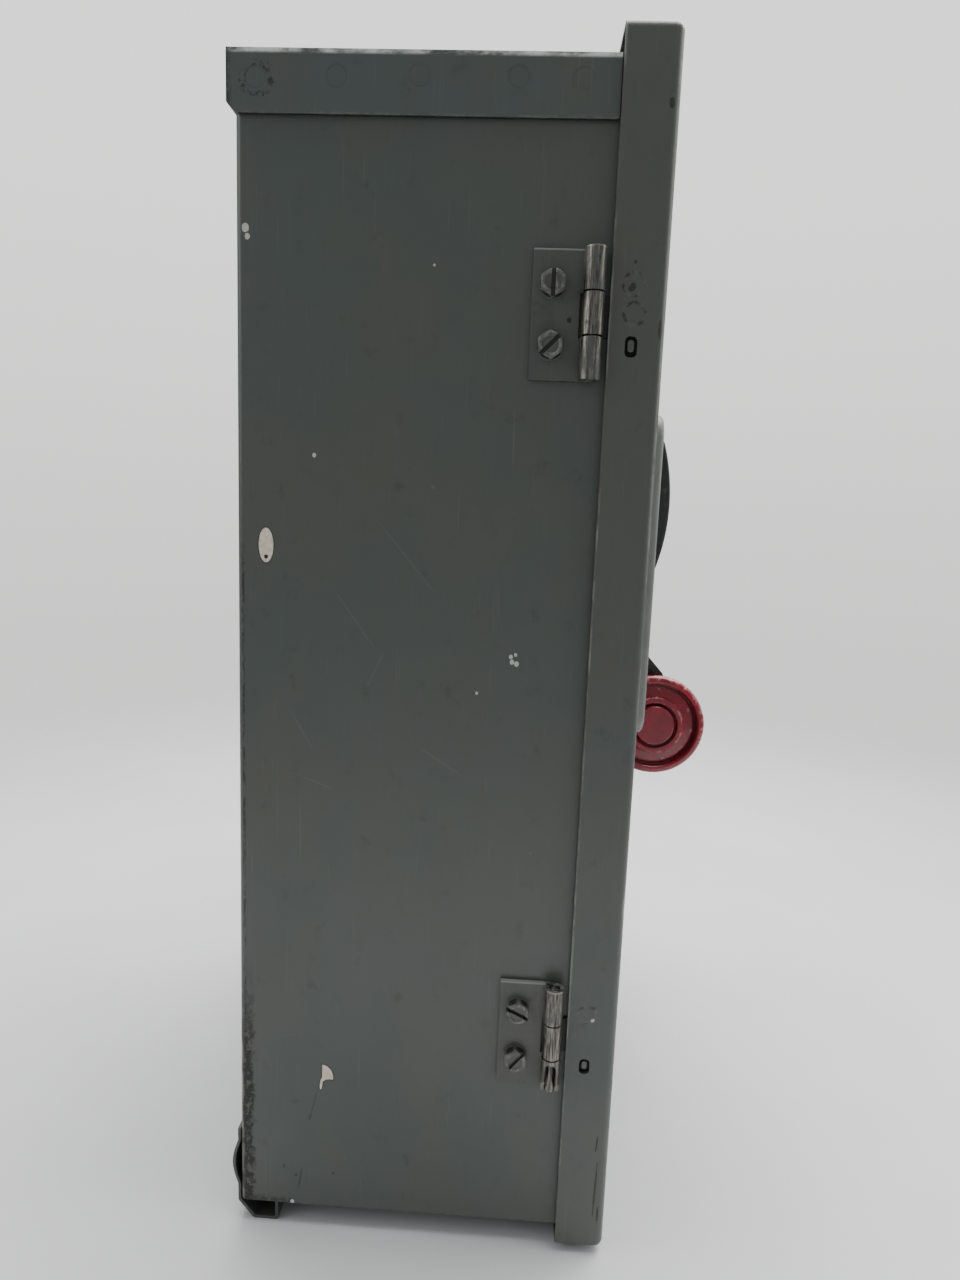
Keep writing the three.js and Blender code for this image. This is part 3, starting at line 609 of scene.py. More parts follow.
def plug_marks(s, color, rough, normal):
    """Painted shade fills the gap round a plug, below the skirt's face."""
    # painted shade: everything deeper than the skirt's outer face is made near black, as the gap round
    # the plug lies in shade
    deep = s.between(s.x, DOOR_LEFT + 0.7, DOOR_LEFT + 1.1)
    return s.stain(color, (10, 10, 9), deep), s.blend(deep, rough, 0.9), normal, 0.0


# ---------------- other finishes
def worn_steel():
    """Bare hinge metal with dark streaks along the pin and remains of paint; the door leaf's strap is
    darkened as painted shade.
    """
    s = Shader("worn_steel", roughness=0.38, metallic=0.9)
    streak, color = streaky_metal(s, (62, 60, 55), (140, 137, 129))
    paint = s.patches(0.55, 0.6, 2.6, 5, 0.7, stretch=(1, 1, 1.6), shift=3)
    color = s.stain(color, (86, 88, 82), paint, 0.9)
    rust = s.patches(0.6, 0.68, 1.3, 5, 0.75, shift=8)
    color = s.stain(color, (40, 33, 28), rust, 0.8)
    # painted shade: the door leaf's strap beside the knuckle is made dark and dull where it lies in shade
    strap = s.between(s.y, HINGE_Y - 2.9, HINGE_Y - 3.3)
    color = s.stain(color, (50, 51, 48), strap)
    paint_rust_and_shade = s.either(paint, rust, strap)
    normal = s.bump(s.either(paint, streak), 0.05)
    return s.use(color, s.blend(paint_rust_and_shade, 0.3, 0.6), normal, s.blend(paint_rust_and_shade, 0.95, 0.1))


def zinc_steel():
    """Plated steel with a faint brushed grain and dull spots."""
    s = Shader("zinc_steel", roughness=0.34, metallic=0.95)
    clouds = s.patches(0.35, 0.7, 9, 5, 0.65)
    color = s.mix(clouds, (176, 178, 176), (140, 141, 137))
    color = s.stain(color, (104, 94, 76), s.patches(0.6, 0.72, 5, 6, 0.75, shift=5), 0.55)
    grain = s.noise(0.7, 3, 0.6, stretch=(6, 1, 1))
    rough = s.add(s.blend(clouds, 0.28, 0.44), s.times(s.minus(grain, 0.5), 0.16))
    return s.use(color, rough, s.bump(grain, 0.012))


def copper():
    """Copper that has dulled and browned in patches."""
    s = Shader("copper", roughness=0.3, metallic=1.0)
    color = s.mix(s.patches(0.35, 0.7, 8, 5, 0.65), (190, 138, 108), (152, 102, 78))
    brown = s.patches(0.56, 0.7, 4, 6, 0.75, shift=5)
    color = s.stain(color, (88, 62, 48), brown, 0.6)
    grain = s.noise(0.6, 3, 0.6, stretch=(1, 7, 1))
    rough = s.add(s.blend(brown, 0.26, 0.46), s.times(s.minus(grain, 0.5), 0.14))
    return s.use(color, rough, s.bump(grain, 0.012))


def black_enamel(name, wear_color, gloss, wear_amount):
    """Black finish with dust and paler rubbed patches."""
    s = Shader(name, roughness=gloss, Coat_Weight=0.1, Coat_Roughness=0.25)
    clouds = s.patches(0.4, 0.7, 16, 4)
    dust = s.patches(0.55, 0.75, 4.5, 6, 0.7, shift=6)
    color = s.stain(s.mix(clouds, (34, 34, 34), (48, 48, 47)), (116, 113, 106), dust, 0.3)
    color = s.stain(color, wear_color, s.patches(0.62, 0.68, 2.2, 6, 0.75, shift=2), wear_amount)
    rough = s.add(s.blend(dust, gloss, gloss + 0.22), s.times(clouds, 0.05))
    return s.use(color, rough, s.bump(s.noise(0.5, 3, 0.6), 0.02))


def moulded(name, light, dark, gloss=0.5):
    """Moulded insulation with a fine grain and a dusty bloom."""
    s = Shader(name, roughness=gloss)
    dust = s.patches(0.55, 0.78, 3.5, 6, 0.75, shift=7)
    color = s.stain(s.mix(s.patches(0.35, 0.7, 14, 5, 0.65), light, dark), (150, 144, 132), dust, 0.25)
    return s.use(color, s.blend(dust, gloss, gloss + 0.2), s.bump(s.noise(0.45, 3, 0.6), 0.03))


def grip_plastic():
    """Aged red plastic: mottled and scratched, its outer rims and ring edges pale, partly rubbed and
    partly painted highlight, with painted shade in its grooves.
    """
    s = Shader("grip_red", roughness=0.3, Coat_Weight=0.35, Coat_Roughness=0.16, IOR=1.5)
    clouds = s.patches(0.35, 0.7, 11, 5, 0.6)
    color = s.mix(clouds, (146, 12, 37), (124, 10, 32))
    color = s.stain(color, (92, 9, 20), s.patches(0.5, 0.7, 5, 5, 0.7, shift=4), 0.5)
    low, high = place("grip_end_knob")
    centre = (low + high) / 2
    share = s.times(s.away(centre.y, centre.z), 2 / (high.z - low.z))
    above = s.add(s.minus(s.z, centre.z), s.times(s.minus(s.y, centre.y), -0.6))
    scuffs = s.patches(0.5, 0.58, 2.4, 6, 0.75, shift=1)
    # the outer rim is paler on its upper side and the ring edges carry pale lines: partly rubbed, partly
    # painted highlight
    worn = s.times(s.between(share, 0.90, 0.97), s.between(above, -2, 12), scuffs)
    ridges = s.either(s.band(share, 0.52, 0.55, 0.57, 0.60), s.band(share, 0.70, 0.74, 0.76, 0.79))
    worn = s.either(worn, s.times(ridges, s.patches(0.54, 0.62, 3.5, 5, 0.7, shift=14), 0.7))
    color = s.stain(color, (214, 152, 150), worn, 0.85)
    nicks = s.patches(0.66, 0.7, 0.9, 4, 0.8, stretch=(1, 1.8, 1), shift=12)
    color = s.stain(color, (196, 130, 128), nicks, 0.5)
    # painted shade: the grooves between the rings are darkened
    shaded_grooves = s.either(s.band(share, 0.77, 0.80, 0.82, 0.86), s.band(share, 0.39, 0.41, 0.44, 0.46))
    color = s.stain(color, (44, 8, 14), shaded_grooves, 0.7)
    rough = s.blend(worn, s.blend(clouds, 0.24, 0.36), 0.5)
    hair = s.noise(0.8, 3, 0.6, stretch=(1, 3, 1), shift=2)
    return s.use(color, rough, s.bump(s.add(s.times(hair, 0.5), s.minus(1.0, nicks)), 0.03))


# Each finish is the slot that it fills and its material.
ENCLOSURE_PAINT = "enclosure_paint", enamel("enclosure_enamel", marks=side_marks)
CAP_PAINT = "cap_paint", enamel("cap_enamel", (73, 80, 77), marks=cap_marks, seed=3.3)
DOOR_PAINT = "door_paint", enamel("door_enamel", GREY_DOOR, marks=door_marks, seed=6.1)
HINGE_PAINT = "enclosure_paint", enamel("hinge_enamel", (68, 70, 64), 0.5, hinge_marks, 9.4)
PLUG_PAINT = "door_paint", enamel("plug_enamel", GREY_DOOR, marks=plug_marks, seed=18.1)
FOOT_PAINT = "enclosure_paint", enamel("foot_enamel", (62, 64, 61), 0.8, seed=12.7)
SCREW_PAINT = "enclosure_paint", enamel("screw_enamel", (80, 82, 75), 0.5, screw_marks, 15.2)
WORN_STEEL = "worn_steel", worn_steel()
ZINC = "zinc_steel", zinc_steel()
COPPER = "copper", copper()
GUARD_BLACK = "guard_black", black_enamel("guard_black", (96, 96, 94), gloss=0.42, wear_amount=0.35)
ARM_BLACK = "arm_black", black_enamel("arm_black", (140, 138, 132), gloss=0.34, wear_amount=0.7)
PHENOLIC = "phenolic", moulded("phenolic", (46, 40, 35), (34, 30, 27))
FIBRE = "fuse_body", moulded("fuse_fibre", (214, 206, 184), (192, 180, 152), gloss=0.6)
GRIP_RED = "grip_red", grip_plastic()


# ---------------- camera and stage
MIDDLE = (100, 70, 200)


def aim_camera():
    """A wide lens close to the hinge side, a little in front of it and slightly above its middle."""
    forward = Vector((0.98681, 0.04559, -0.15535)).normalized()
    right = Vector((0.05214, -0.99790, 0.03839)).normalized()
    up = right.cross(forward)
    data = bpy.data.cameras.new("view")
    data.sensor_fit = "AUTO"
    data.sensor_width = 36
    data.lens = 23.9
    data.clip_start = 0.01
    camera = bpy.data.objects.new("view", data)
    rotation = Matrix((right, up, -forward)).transposed().to_4x4()
    camera.matrix_world = Matrix.Translation(at(-270.3, 39.5, 259.5)) @ rotation
    bpy.context.scene.collection.objects.link(camera)
    bpy.context.scene.camera = camera


def lay_floor():
    """A pale floor that fades out round the object, so that no horizon line shows."""
    half_size_m, clear_from, solid_to = 3, 900, 250
    bm = bmesh.new()
    bmesh.ops.create_grid(bm, x_segments=1, y_segments=1, size=half_size_m)
    floor = mesh_object("floor", bm)
    s = Shader("floor_paper", roughness=0.8)
    color = s.mix(s.patches(0.3, 0.7, 130, 4), (214, 214, 215), (208, 208, 209))
    dx, dy = s.minus(s.x, MIDDLE[0]), s.minus(s.y, MIDDLE[1])
    away = s.math("SQRT", s.add(s.times(dx, dx), s.times(dy, dy)))
    s.link(s.between(away, clear_from, solid_to), s.surface.inputs["Alpha"])
    floor.data.materials.append(s.use(color, 0.8, s.bump(s.noise(2.5, 3), 0.04)))


def area_light(name, place_mm, size, power):
    """A rectangular light aimed at the middle of the object; its size is in metres."""
    data = bpy.data.lights.new(name, "AREA")
    data.shape = "RECTANGLE"
    data.size, data.size_y = size
    data.energy = power
    lamp = bpy.data.objects.new(name, data)
    start = at(*place_mm)
    aim = (at(*MIDDLE) - start).to_track_quat("-Z", "Y")
    lamp.matrix_world = Matrix.Translation(start) @ aim.to_matrix().to_4x4()
    bpy.context.scene.collection.objects.link(lamp)


def light_stage():
    """A soft sky that lights, a paler backdrop that only the camera sees, and three lamps."""
    world = bpy.data.worlds.new("studio")
    world.use_nodes = True
    tree = world.node_tree
    sky = tree.nodes["Background"]
    sky.inputs["Color"].default_value = (0.94, 0.97, 1.0, 1)
    sky.inputs["Strength"].default_value = 0.42
    backdrop = tree.nodes.new("ShaderNodeBackground")
    backdrop.inputs["Color"].default_value = (1.0, 1.0, 0.99, 1)
    direction = tree.nodes.new("ShaderNodeTexCoord")
    split = tree.nodes.new("ShaderNodeSeparateXYZ")
    rise = tree.nodes.new("ShaderNodeMapRange")
    rise.interpolation_type = "SMOOTHSTEP"
    for socket, value in (("From Min", -0.25), ("From Max", 0.42), ("To Min", 1.06), ("To Max", 1.5)):
        rise.inputs[socket].default_value = value
    seen = tree.nodes.new("ShaderNodeLightPath")
    either = tree.nodes.new("ShaderNodeMixShader")
    for source, target in (
        (direction.outputs["Generated"], split.inputs[0]),
        (split.outputs["Z"], rise.inputs["Value"]),
        (rise.outputs["Result"], backdrop.inputs["Strength"]),
        (seen.outputs["Is Camera Ray"], either.inputs[0]),
        (sky.outputs[0], either.inputs[1]),
        (backdrop.outputs[0], either.inputs[2]),
        (either.outputs[0], tree.nodes["World Output"].inputs["Surface"]),
    ):
        tree.links.new(source, target)
    bpy.context.scene.world = world
    area_light("overhead", (500, -100, 1500), (1.6, 1.6), 60)
    area_light("behind", (-500, 1500, 900), (1.0, 1.2), 8)
    area_light("door_side", (300, -1300, 800), (1.2, 1.2), 8)


# ---------------- enclosure
def weld_mark(x, y, z, side=-1):
    """A tool for the pressed ring and dished middle that a spot weld leaves on a face at x."""
    inward = -side * 0.22
    profile = [(0, side), (WELD_RADIUS, side), (WELD_RADIUS, 0), (WELD_RADIUS - 0.3, inward),
               (WELD_RADIUS - 0.7, inward * 0.9), (WELD_RADIUS - 1.2, inward * 0.25), (0, inward * 0.35)]
    return turned("weld", profile, "x", (x, y, z), steps=40)


def build_wrapper():
    """The folded back and sides, with lips round the front and holes for hanging and fixing."""
    outer, inner, edge, lip, front = 2.2, 0.7, 0.2, 7, 3
    back = REAR - SHEET
    outline = fillet(
        [(lip, front), (lip, front + SHEET), (SHEET, front + SHEET), (SHEET, back),
         (WIDTH - SHEET, back), (WIDTH - SHEET, front + SHEET), (WIDTH - lip, front + SHEET),
         (WIDTH - lip, front), (WIDTH, front), (WIDTH, REAR), (0, REAR), (0, front)],
        [edge] * 2 + [inner] * 4 + [edge] * 2 + [outer] * 4)
    box = prism("wrapper", outline, "z", BOX_BOTTOM, BOX_TOP)
    middle, through = WIDTH / 2, (back - 5, REAR + 5)
    keyhole_z, neck_top, neck_half = 356, 367, 2.5
    low_hole_x, low_hole_z = 50, 30
    soften(box, 0.35, 2)
    cut(box,
        rod("keyhole", "y", 5, *through, middle, keyhole_z),
        slab("keyhole_neck", middle - neck_half, middle + neck_half, *through, keyhole_z, neck_top),
        rod("low_hole", "y", 3.5, *through, low_hole_x, low_hole_z),
        rod("low_hole", "y", 3.5, *through, WIDTH - low_hole_x, low_hole_z),
        rod("latch_hole", "x", 2.8, WIDTH - 5, WIDTH + 5, LATCH_Y, LATCH_Z),
        *(rod("screw_hole", "x", SCREW_HOLE, -5, 5, y, z) for y, z in SCREW_PLACES))
    show(soften(box, 0), "enclosure_box", "enclosure", ENCLOSURE_PAINT, "enclosure_wrapper")


def build_cap():
    """The folded lid: a side flange with a cut corner, and a tongue that goes under the door."""
    low, high = place("top_cap")
    front, corner = 17.3, 2.8
    side = fillet([(front, low.z), (high.y - corner, low.z), (high.y, low.z + corner),
                   (high.y, high.z), (front, high.z)], [0.6, 1, 1, 0.01, 0.01])
    cap = prism("cap", side, "x", low.x, high.x)
    soften(cap, 1.1, 4, 50)
    wall = CAP_FLANGE - CAP_CLEARANCE
    cut(cap, slab("inside", low.x + wall, high.x - wall, -5, REAR + CAP_CLEARANCE,
                  low.z - 5, high.z - SHEET))
    tongue = slab("tongue", 0, WIDTH, low.y, front + 5, high.z - SHEET, high.z)
    join(cap, soften(tongue, 0.3, 2))
    for y, z in CAP_WELDS:
        cut(cap, weld_mark(low.x, y, z))
        cut(cap, weld_mark(high.x, y + rng.uniform(-1.5, 1.5), z + rng.uniform(-0.5, 0.5), 1))
    show(soften(cap, 0), "cap_folded", "enclosure", CAP_PAINT, "top_cap")


def build_feet():
    """Strap feet: flat on the rear wall, bowed below, hooked under the bottom edge."""
    strap, gap, toe = 1.2, 0.3, 127.3
    bow_low, bow_high, bow_out = 11.5, 29, 2
    inner = REAR + gap
    outer, hook, bend = inner + strap, BOX_BOTTOM - gap, BOX_BOTTOM - 1

    def bow(face):
        return [(face + bow_out * math.sin(math.pi * k / 10), bow_low + (bow_high - bow_low) * k / 10)
                for k in range(1, 10)]

    for side in ("left", "right"):
        low, high = place(f"{side}_mounting_foot")
        front, sole = low.y, low.z
        outline = ([(inner, high.z), (inner, bow_high)] + bow(inner)[::-1]
                   + [(inner, bow_low), (inner, bend), (toe - 0.8, sole + strap),
                      (front + strap, sole + strap), (front + strap, hook), (front, hook),
                      (front, sole + 0.6), (front + 0.6, sole), (toe - 0.6, sole),
                      (toe + 0.4, sole + 0.5), (outer, bend - 0.7), (outer, bow_low)]
                   + bow(outer) + [(outer, bow_high), (outer, high.z)])
        foot = prism("foot", outline, "x", low.x, high.x)
        soften(foot, 0.3, 2)
        show(foot, f"{side}_strap_foot", "enclosure", FOOT_PAINT, f"{side}_mounting_foot")


def knuckle(y_from, y_turn, sheet, turn, low, high):
    """A leaf whose end is rolled round the pin; turn is +1 or -1, the way that it rolls."""
    radius, bore, x_face = 3.25, 1.9, -0.3
    sweep = 300 * turn
    outside = arc(HINGE_X, HINGE_Y, radius, 0, sweep, 30)
    inside = arc(HINGE_X, HINGE_Y, bore, sweep, 0, 24)
    tip = arc(HINGE_X, HINGE_Y, (radius + bore) / 2, sweep + 4 * turn, sweep, 1)[:1]
    outline = ([(x_face, y_from), (x_face, y_turn)] + outside + tip + inside
               + [(x_face - sheet, y_turn), (x_face - sheet, y_from)])
    return prism("knuckle", outline, "z", low, high)


def build_hinges():
    """Three-knuckle butt hinges: the box leaf has two knuckles and the door leaf the middle one."""
    play = 0.2
    for name, centre in HINGES.items():
        low, high = place(f"{name}_hinge_box_leaf")
        third = (high.z - low.z) / 3
        leaf = knuckle(high.y, HINGE_Y + 2.2, SHEET, -1, low.z, high.z)
        cut(leaf, slab("gap", -14, 4, HINGE_Y - 8, HINGE_Y + 3.7,
                       low.z + third - play, high.z - third + play))
        if name == "lower":
            cut(leaf, worn_opening(low.z))
        for side in (-1, 1):
            cut(leaf, rod("hole", "x", SCREW_HOLE, -5, 5, SCREW_Y, centre + side * SCREW_SPREAD))
        soften(leaf, 0.22, 2)
        show(leaf, f"{name}_hinge_rolled_leaf", "enclosure", HINGE_PAINT, f"{name}_hinge_box_leaf")

        low, high = place(f"{name}_hinge_door_leaf")
        flat = slab("flat", high.x - 1, high.x, low.y, 16, low.z, high.z)
        middle, half = (low.z + high.z) / 2, third / 2 - play
        join(flat, knuckle(15, HINGE_Y - 1.4, 1.0, 1, middle - half, middle + half))
        soften(flat, 0.22, 2)
        show(flat, f"{name}_hinge_rolled_knuckle", "door", WORN_STEEL, f"{name}_hinge_door_leaf")

        low, high = place(f"{name}_hinge_pin")
        length, flare = high.z - low.z, 1.75
        waist, shank = flare - 0.45, flare - 0.15
        pin = turned("pin", [(0, 0), (flare - 0.5, 0), (flare, 0.5), (flare, 1.3), (waist, 2.2),
                             (waist, 11), (shank, 13), (shank, length - 0.6), (flare - 0.6, length),
                             (0, length)], "z", (HINGE_X, HINGE_Y, low.z), steps=32)
        show(soften(pin, 0), f"{name}_hinge_worn_pin", "enclosure", WORN_STEEL, f"{name}_hinge_pin")


def worn_opening(bottom):
    """The ragged window worn through the front of a bottom knuckle."""
    shape = [(-3.8, -1), (-3.6, 2.4), (-2.0, 2.9), (-1.8, 9.6), (-1.1, 10.9), (0.9, 11.3), (1.9, 10.3),
             (2.1, 5.0), (2.6, 3.6), (3.8, 3.0), (3.9, -1)]
    outline = [(HINGE_Y + across, bottom + up) for across, up in shape]
    return prism("window", outline, "x", -9, HINGE_X - 0.3)


def bar_corners(half_long, half_wide):
    return [(-half_long, -half_wide), (half_long, -half_wide), (half_long, half_wide),
            (-half_long, half_wide)]


def turned_box(y, z, half_long, half_wide, angle, x0, x1):
    """A bar across a face, its length at an angle in degrees from the door, rising."""
    c, s = math.cos(math.radians(angle)), math.sin(math.radians(angle))
    outline = [(y - a * c + b * s, z + a * s + b * c) for a, b in bar_corners(half_long, half_wide)]
    return prism("slot", outline, "x", x0, x1)


def build_hinge_screws():
    """Slotted hexagon heads, chamfered, each at its own turn."""
    turns = {"upper_hinge_screw_high": (90, 31), "upper_hinge_screw_low": (45, 27),
             "lower_hinge_screw_high": (-25, 33), "lower_hinge_screw_low": (50, 28)}
    across, height = 7.5, 3.0
    for node, (slot_angle, hexagon) in turns.items():
        low, high = place(node)
        y, z = middle_of(node)[1:]
        under = low.x + height
        corner = across / math.sqrt(3)
        head = prism("head", arc(y, z, corner, hexagon, hexagon + 300, 5), "x", low.x, under)
        dome = turned("dome", [(0, low.x), (corner * 0.72, low.x), (corner * 0.86, low.x + 0.25),
                               (corner + 0.05, low.x + 0.95), (corner + 0.05, under + 1), (0, under + 1)],
                      "x", (0, y, z), steps=64)
        boolean(head, dome, "INTERSECT")
        soften(head, 0.16, 2)
        cut(head, turned("sunk", [(0, low.x - 1), (2.75, low.x - 1), (2.6, low.x + 0.2),
                                  (2.3, low.x + 0.45), (0, low.x + 0.45)], "x", (0, y, z), steps=48))
        cut(head, turned_box(y, z, across, 0.62, slot_angle, low.x - 1, low.x + 1.3))
        join(head, rod("shank", "x", 1.9, under - 0.4, high.x, y, z, 24))
        ring = turned("ring", [(2.1, under), (4.15, under), (4.4, under + 0.12), (4.4, under + 0.25),
                               (2.1, under + 0.25), (2.1, under)], "x", (0, y, z), steps=48)
        screw = gather(f"{node}_slotted", soften(head, 0), soften(ring, 0))
        show(screw, f"{node}_slotted", "enclosure", SCREW_PAINT, node)


# ---------------- door
def rounded_rectangle(left, right, bottom, top, radius, steps=6):
    return fillet([(left, bottom), (right, bottom), (right, top), (left, top)], radius, steps)


def lofted(name, rings):
    """Skins outlines in the (x,z) plane, each at its own y, with the same number of points."""
    bm = bmesh.new()
    loops = [[bm.verts.new(at(x, y, z)) for x, z in outline] for y, outline in rings]
    for first, second in zip(loops, loops[1:]):
        for i in range(len(first)):
            j = (i + 1) % len(first)
            bm.faces.new((first[i], first[j], second[j], second[i]))
    bm.faces.new(loops[0])
    bm.faces.new(loops[-1][::-1])
    return mesh_object(name, bm)


EMBOSS = (14, 190, 182.9, 292)
EMBOSS_CORNER = 9
EMBOSS_STEPS = [(-1.2, 0), (-0.6, 0.15), (-0.1, 0.6), (0.15, 1.6), (0.4, 3.1), (0.75, 4.0), (1.3, 4.5),
                (2.1, 4.7)]      # how far in, and how proud
ARM_X = 121
SLOT_HALF, SLOT_LOW, SLOT_HIGH = 6, 188.9, 269
CHANNEL_TOP = 278


def raised_panel(name, shrink, lift, back):
    """The pressed field round the handle, with a flared foot and a rounded shoulder."""
    left, right, bottom, top = EMBOSS
    rings = []
    for inset, proud in [(-1.3, -back)] + EMBOSS_STEPS:
        grow = inset + shrink
        outline = rounded_rectangle(left + grow, right - grow, bottom + grow, top - grow,
                                    EMBOSS_CORNER - grow, 8)
        rings.append((lift - proud, outline))
    return lofted(name, rings)


def oval(y, z, wide, high, near, far):
    outline = [(y + a, z + b) for a, b in bar_corners(wide / 2, high / 2)]
    return prism("oval", fillet(outline, wide * 0.42), "x", near, far)


def build_door():
    """The skirted pan with its raised panel, arm slot, weld marks and plugged skirt slots."""
    inner = DOOR_LEFT + SHEET
    block = prism("door", rounded_rectangle(DOOR_LEFT, DOOR_RIGHT, 0, DOOR_HEIGHT, 3), "y", 0, 30)
    soften(block, 2.8, 6, 50)
    cut(block, slab("rear", -30, WIDTH + 30, DOOR_DEPTH, 60, -10, DOOR_HEIGHT + 10))
    inside = rounded_rectangle(inner, DOOR_RIGHT - SHEET, SHEET, DOOR_HEIGHT - SHEET, 1.6)
    hollow = soften(prism("hollow", inside, "y", SHEET, 40), 1.2, 3, 50)
    join(block, raised_panel("panel", 0, 0, 1.0))
    cut(block, hollow, raised_panel("pocket", SHEET, SHEET, 3.0))
    arm_slot = rounded_rectangle(ARM_X - SLOT_HALF, ARM_X + SLOT_HALF, SLOT_LOW, SLOT_HIGH, 2)
    cut(block, prism("arm_slot", arm_slot, "y", -10, 5),
        rod("stud_hole", "x", 2.8, DOOR_RIGHT - 5, DOOR_RIGHT + 5, 9, LATCH_Z))
    cut(block, *(weld_mark(DOOR_LEFT, y, z) for y, z in SKIRT_WELDS))
    cut(block, *(oval(*slot, DOOR_LEFT - 1, inner + 0.2) for slot in SKIRT_SLOTS.values()))
    show(soften(block, 0), "door_pan", "door", DOOR_PAINT, "door_shell")
    for name, (y, z, wide, high) in SKIRT_SLOTS.items():
        plug = oval(y, z + 0.3, wide - 1.7, high - 2.6, DOOR_LEFT + 0.35, inner + 0.1)
        # the flange sits behind the gap round the plug and carries the painted shade there
        flange = oval(y, z, wide - 0.1, high - 0.1, inner - 0.1, inner + 0.15)
        piece = gather("plug", soften(plug, 0.2, 2), flange)
        show(soften(piece, 0), f"{name}_skirt_plug", "door", PLUG_PAINT)
    nub = turned("nub", [(0, 0), (0.9, 0), (0.75, -0.3), (0.3, -0.42), (0, -0.42)], "x",
                 (DOOR_LEFT + 0.42, 8.6, 88.4), steps=24)
    show(soften(nub, 0), "skirt_weld_nub", "door", ZINC)


def build_guard():
    """The convex guard round the arm's slot, its rims rounded."""
    low, high = place("handle_guard")
    centre_y, centre_z, radius = 66.8, 263, 89
    face = high.y
    start = 180 + math.degrees(math.asin((centre_z - high.z) / radius))
    end = 180 + math.degrees(math.asin((centre_z - low.z) / radius))
    outline = [(face, low.z), (face, high.z)] + arc(centre_y, centre_z, radius, start, end, 40)
    guard = prism("guard", outline, "x", low.x, high.x)
    soften(guard, 2.0, 4, 50)
    cut(guard, slab("channel", ARM_X - SLOT_HALF, ARM_X + SLOT_HALF, -60, 0, low.z - 9, CHANNEL_TOP))
    soften(guard, 0.5, 2, 50)
    show(guard, "guard_hood", "door", GUARD_BLACK, "handle_guard")


def build_stud(name, body, node):
    """A shouldered stud with a domed head on its outer end."""
    low, high = place(node)
    length = high.x - low.x
    foot = (low.x, *middle_of(node)[1:])
    profile = [(0, 0), (2.3, 0), (2.5, 0.2), (2.5, length - 1.7), (3.8, length - 1.7),
               (4.0, length - 1.5), (4.0, length - 1.1), (3.4, length - 0.5), (2.0, length - 0.1),
               (0, length)]
    show(soften(turned("stud", profile, "x", foot, steps=48), 0), name, body, ZINC, node)


# ---------------- handle
PIVOT_Y, PIVOT_Z = 31.5, 237.75
REST_TURN = math.radians(227.7)
GRIP_ALONG, GRIP_ACROSS = 91.9, 8.7
GRIP_BORE = 4.3


def arm_point(along, across):
    """A point of the arm's own plane as (y, z) with the handle at rest."""
    c, s = math.cos(REST_TURN), math.sin(REST_TURN)
    return (PIVOT_Y + along * c - across * s, PIVOT_Z + along * s + across * c)


GRIP_Y, GRIP_Z = arm_point(GRIP_ALONG, GRIP_ACROSS)


def build_arm():
    """A flat cranked arm with a thick ribbed upper edge, a hub and an eye for the grip."""
    web, rib, rib_depth, top, bottom, apex, boss, hub = 5, 8, 3, 9.1, 5, 77.6, 9, 11
    far, near = GRIP_ALONG + boss * 0.5, GRIP_ALONG - boss * 0.5
    over, under = GRIP_ACROSS - boss * 0.85, GRIP_ACROSS + boss * 0.85
    plate = fillet([(-3, -top), (apex, -top), (far, over), (far, under), (near, under), (62, bottom),
                    (-3, bottom)], [0, 3, 2, 2, 2, 8, 0])
    edge = [(0, -top), (apex - 0.6, -top), (apex - 0.1, -top + 0.5), (apex - 0.1, rib_depth - top),
            (0, rib_depth - top)]
    arm = prism("arm", [arm_point(*p) for p in plate], "x", ARM_X - web / 2, ARM_X + web / 2)
    join(arm, rod("hub", "x", hub, ARM_X - web / 2, ARM_X + web / 2, PIVOT_Y, PIVOT_Z, 64),
         rod("eye", "x", boss, ARM_X - web / 2, ARM_X + web / 2, GRIP_Y, GRIP_Z, 64),
         prism("rib", [arm_point(*p) for p in edge], "x", ARM_X - rib / 2, ARM_X + rib / 2))
    cut(arm, rod("bore", "x", 5.3, ARM_X - 20, ARM_X + 20, PIVOT_Y, PIVOT_Z),
        rod("eye_bore", "x", GRIP_BORE, ARM_X - 20, ARM_X + 20, GRIP_Y, GRIP_Z))
    soften(arm, 0.55, 3)
    show(arm, "cranked_arm", "handle", ARM_BLACK, "operating_arm")


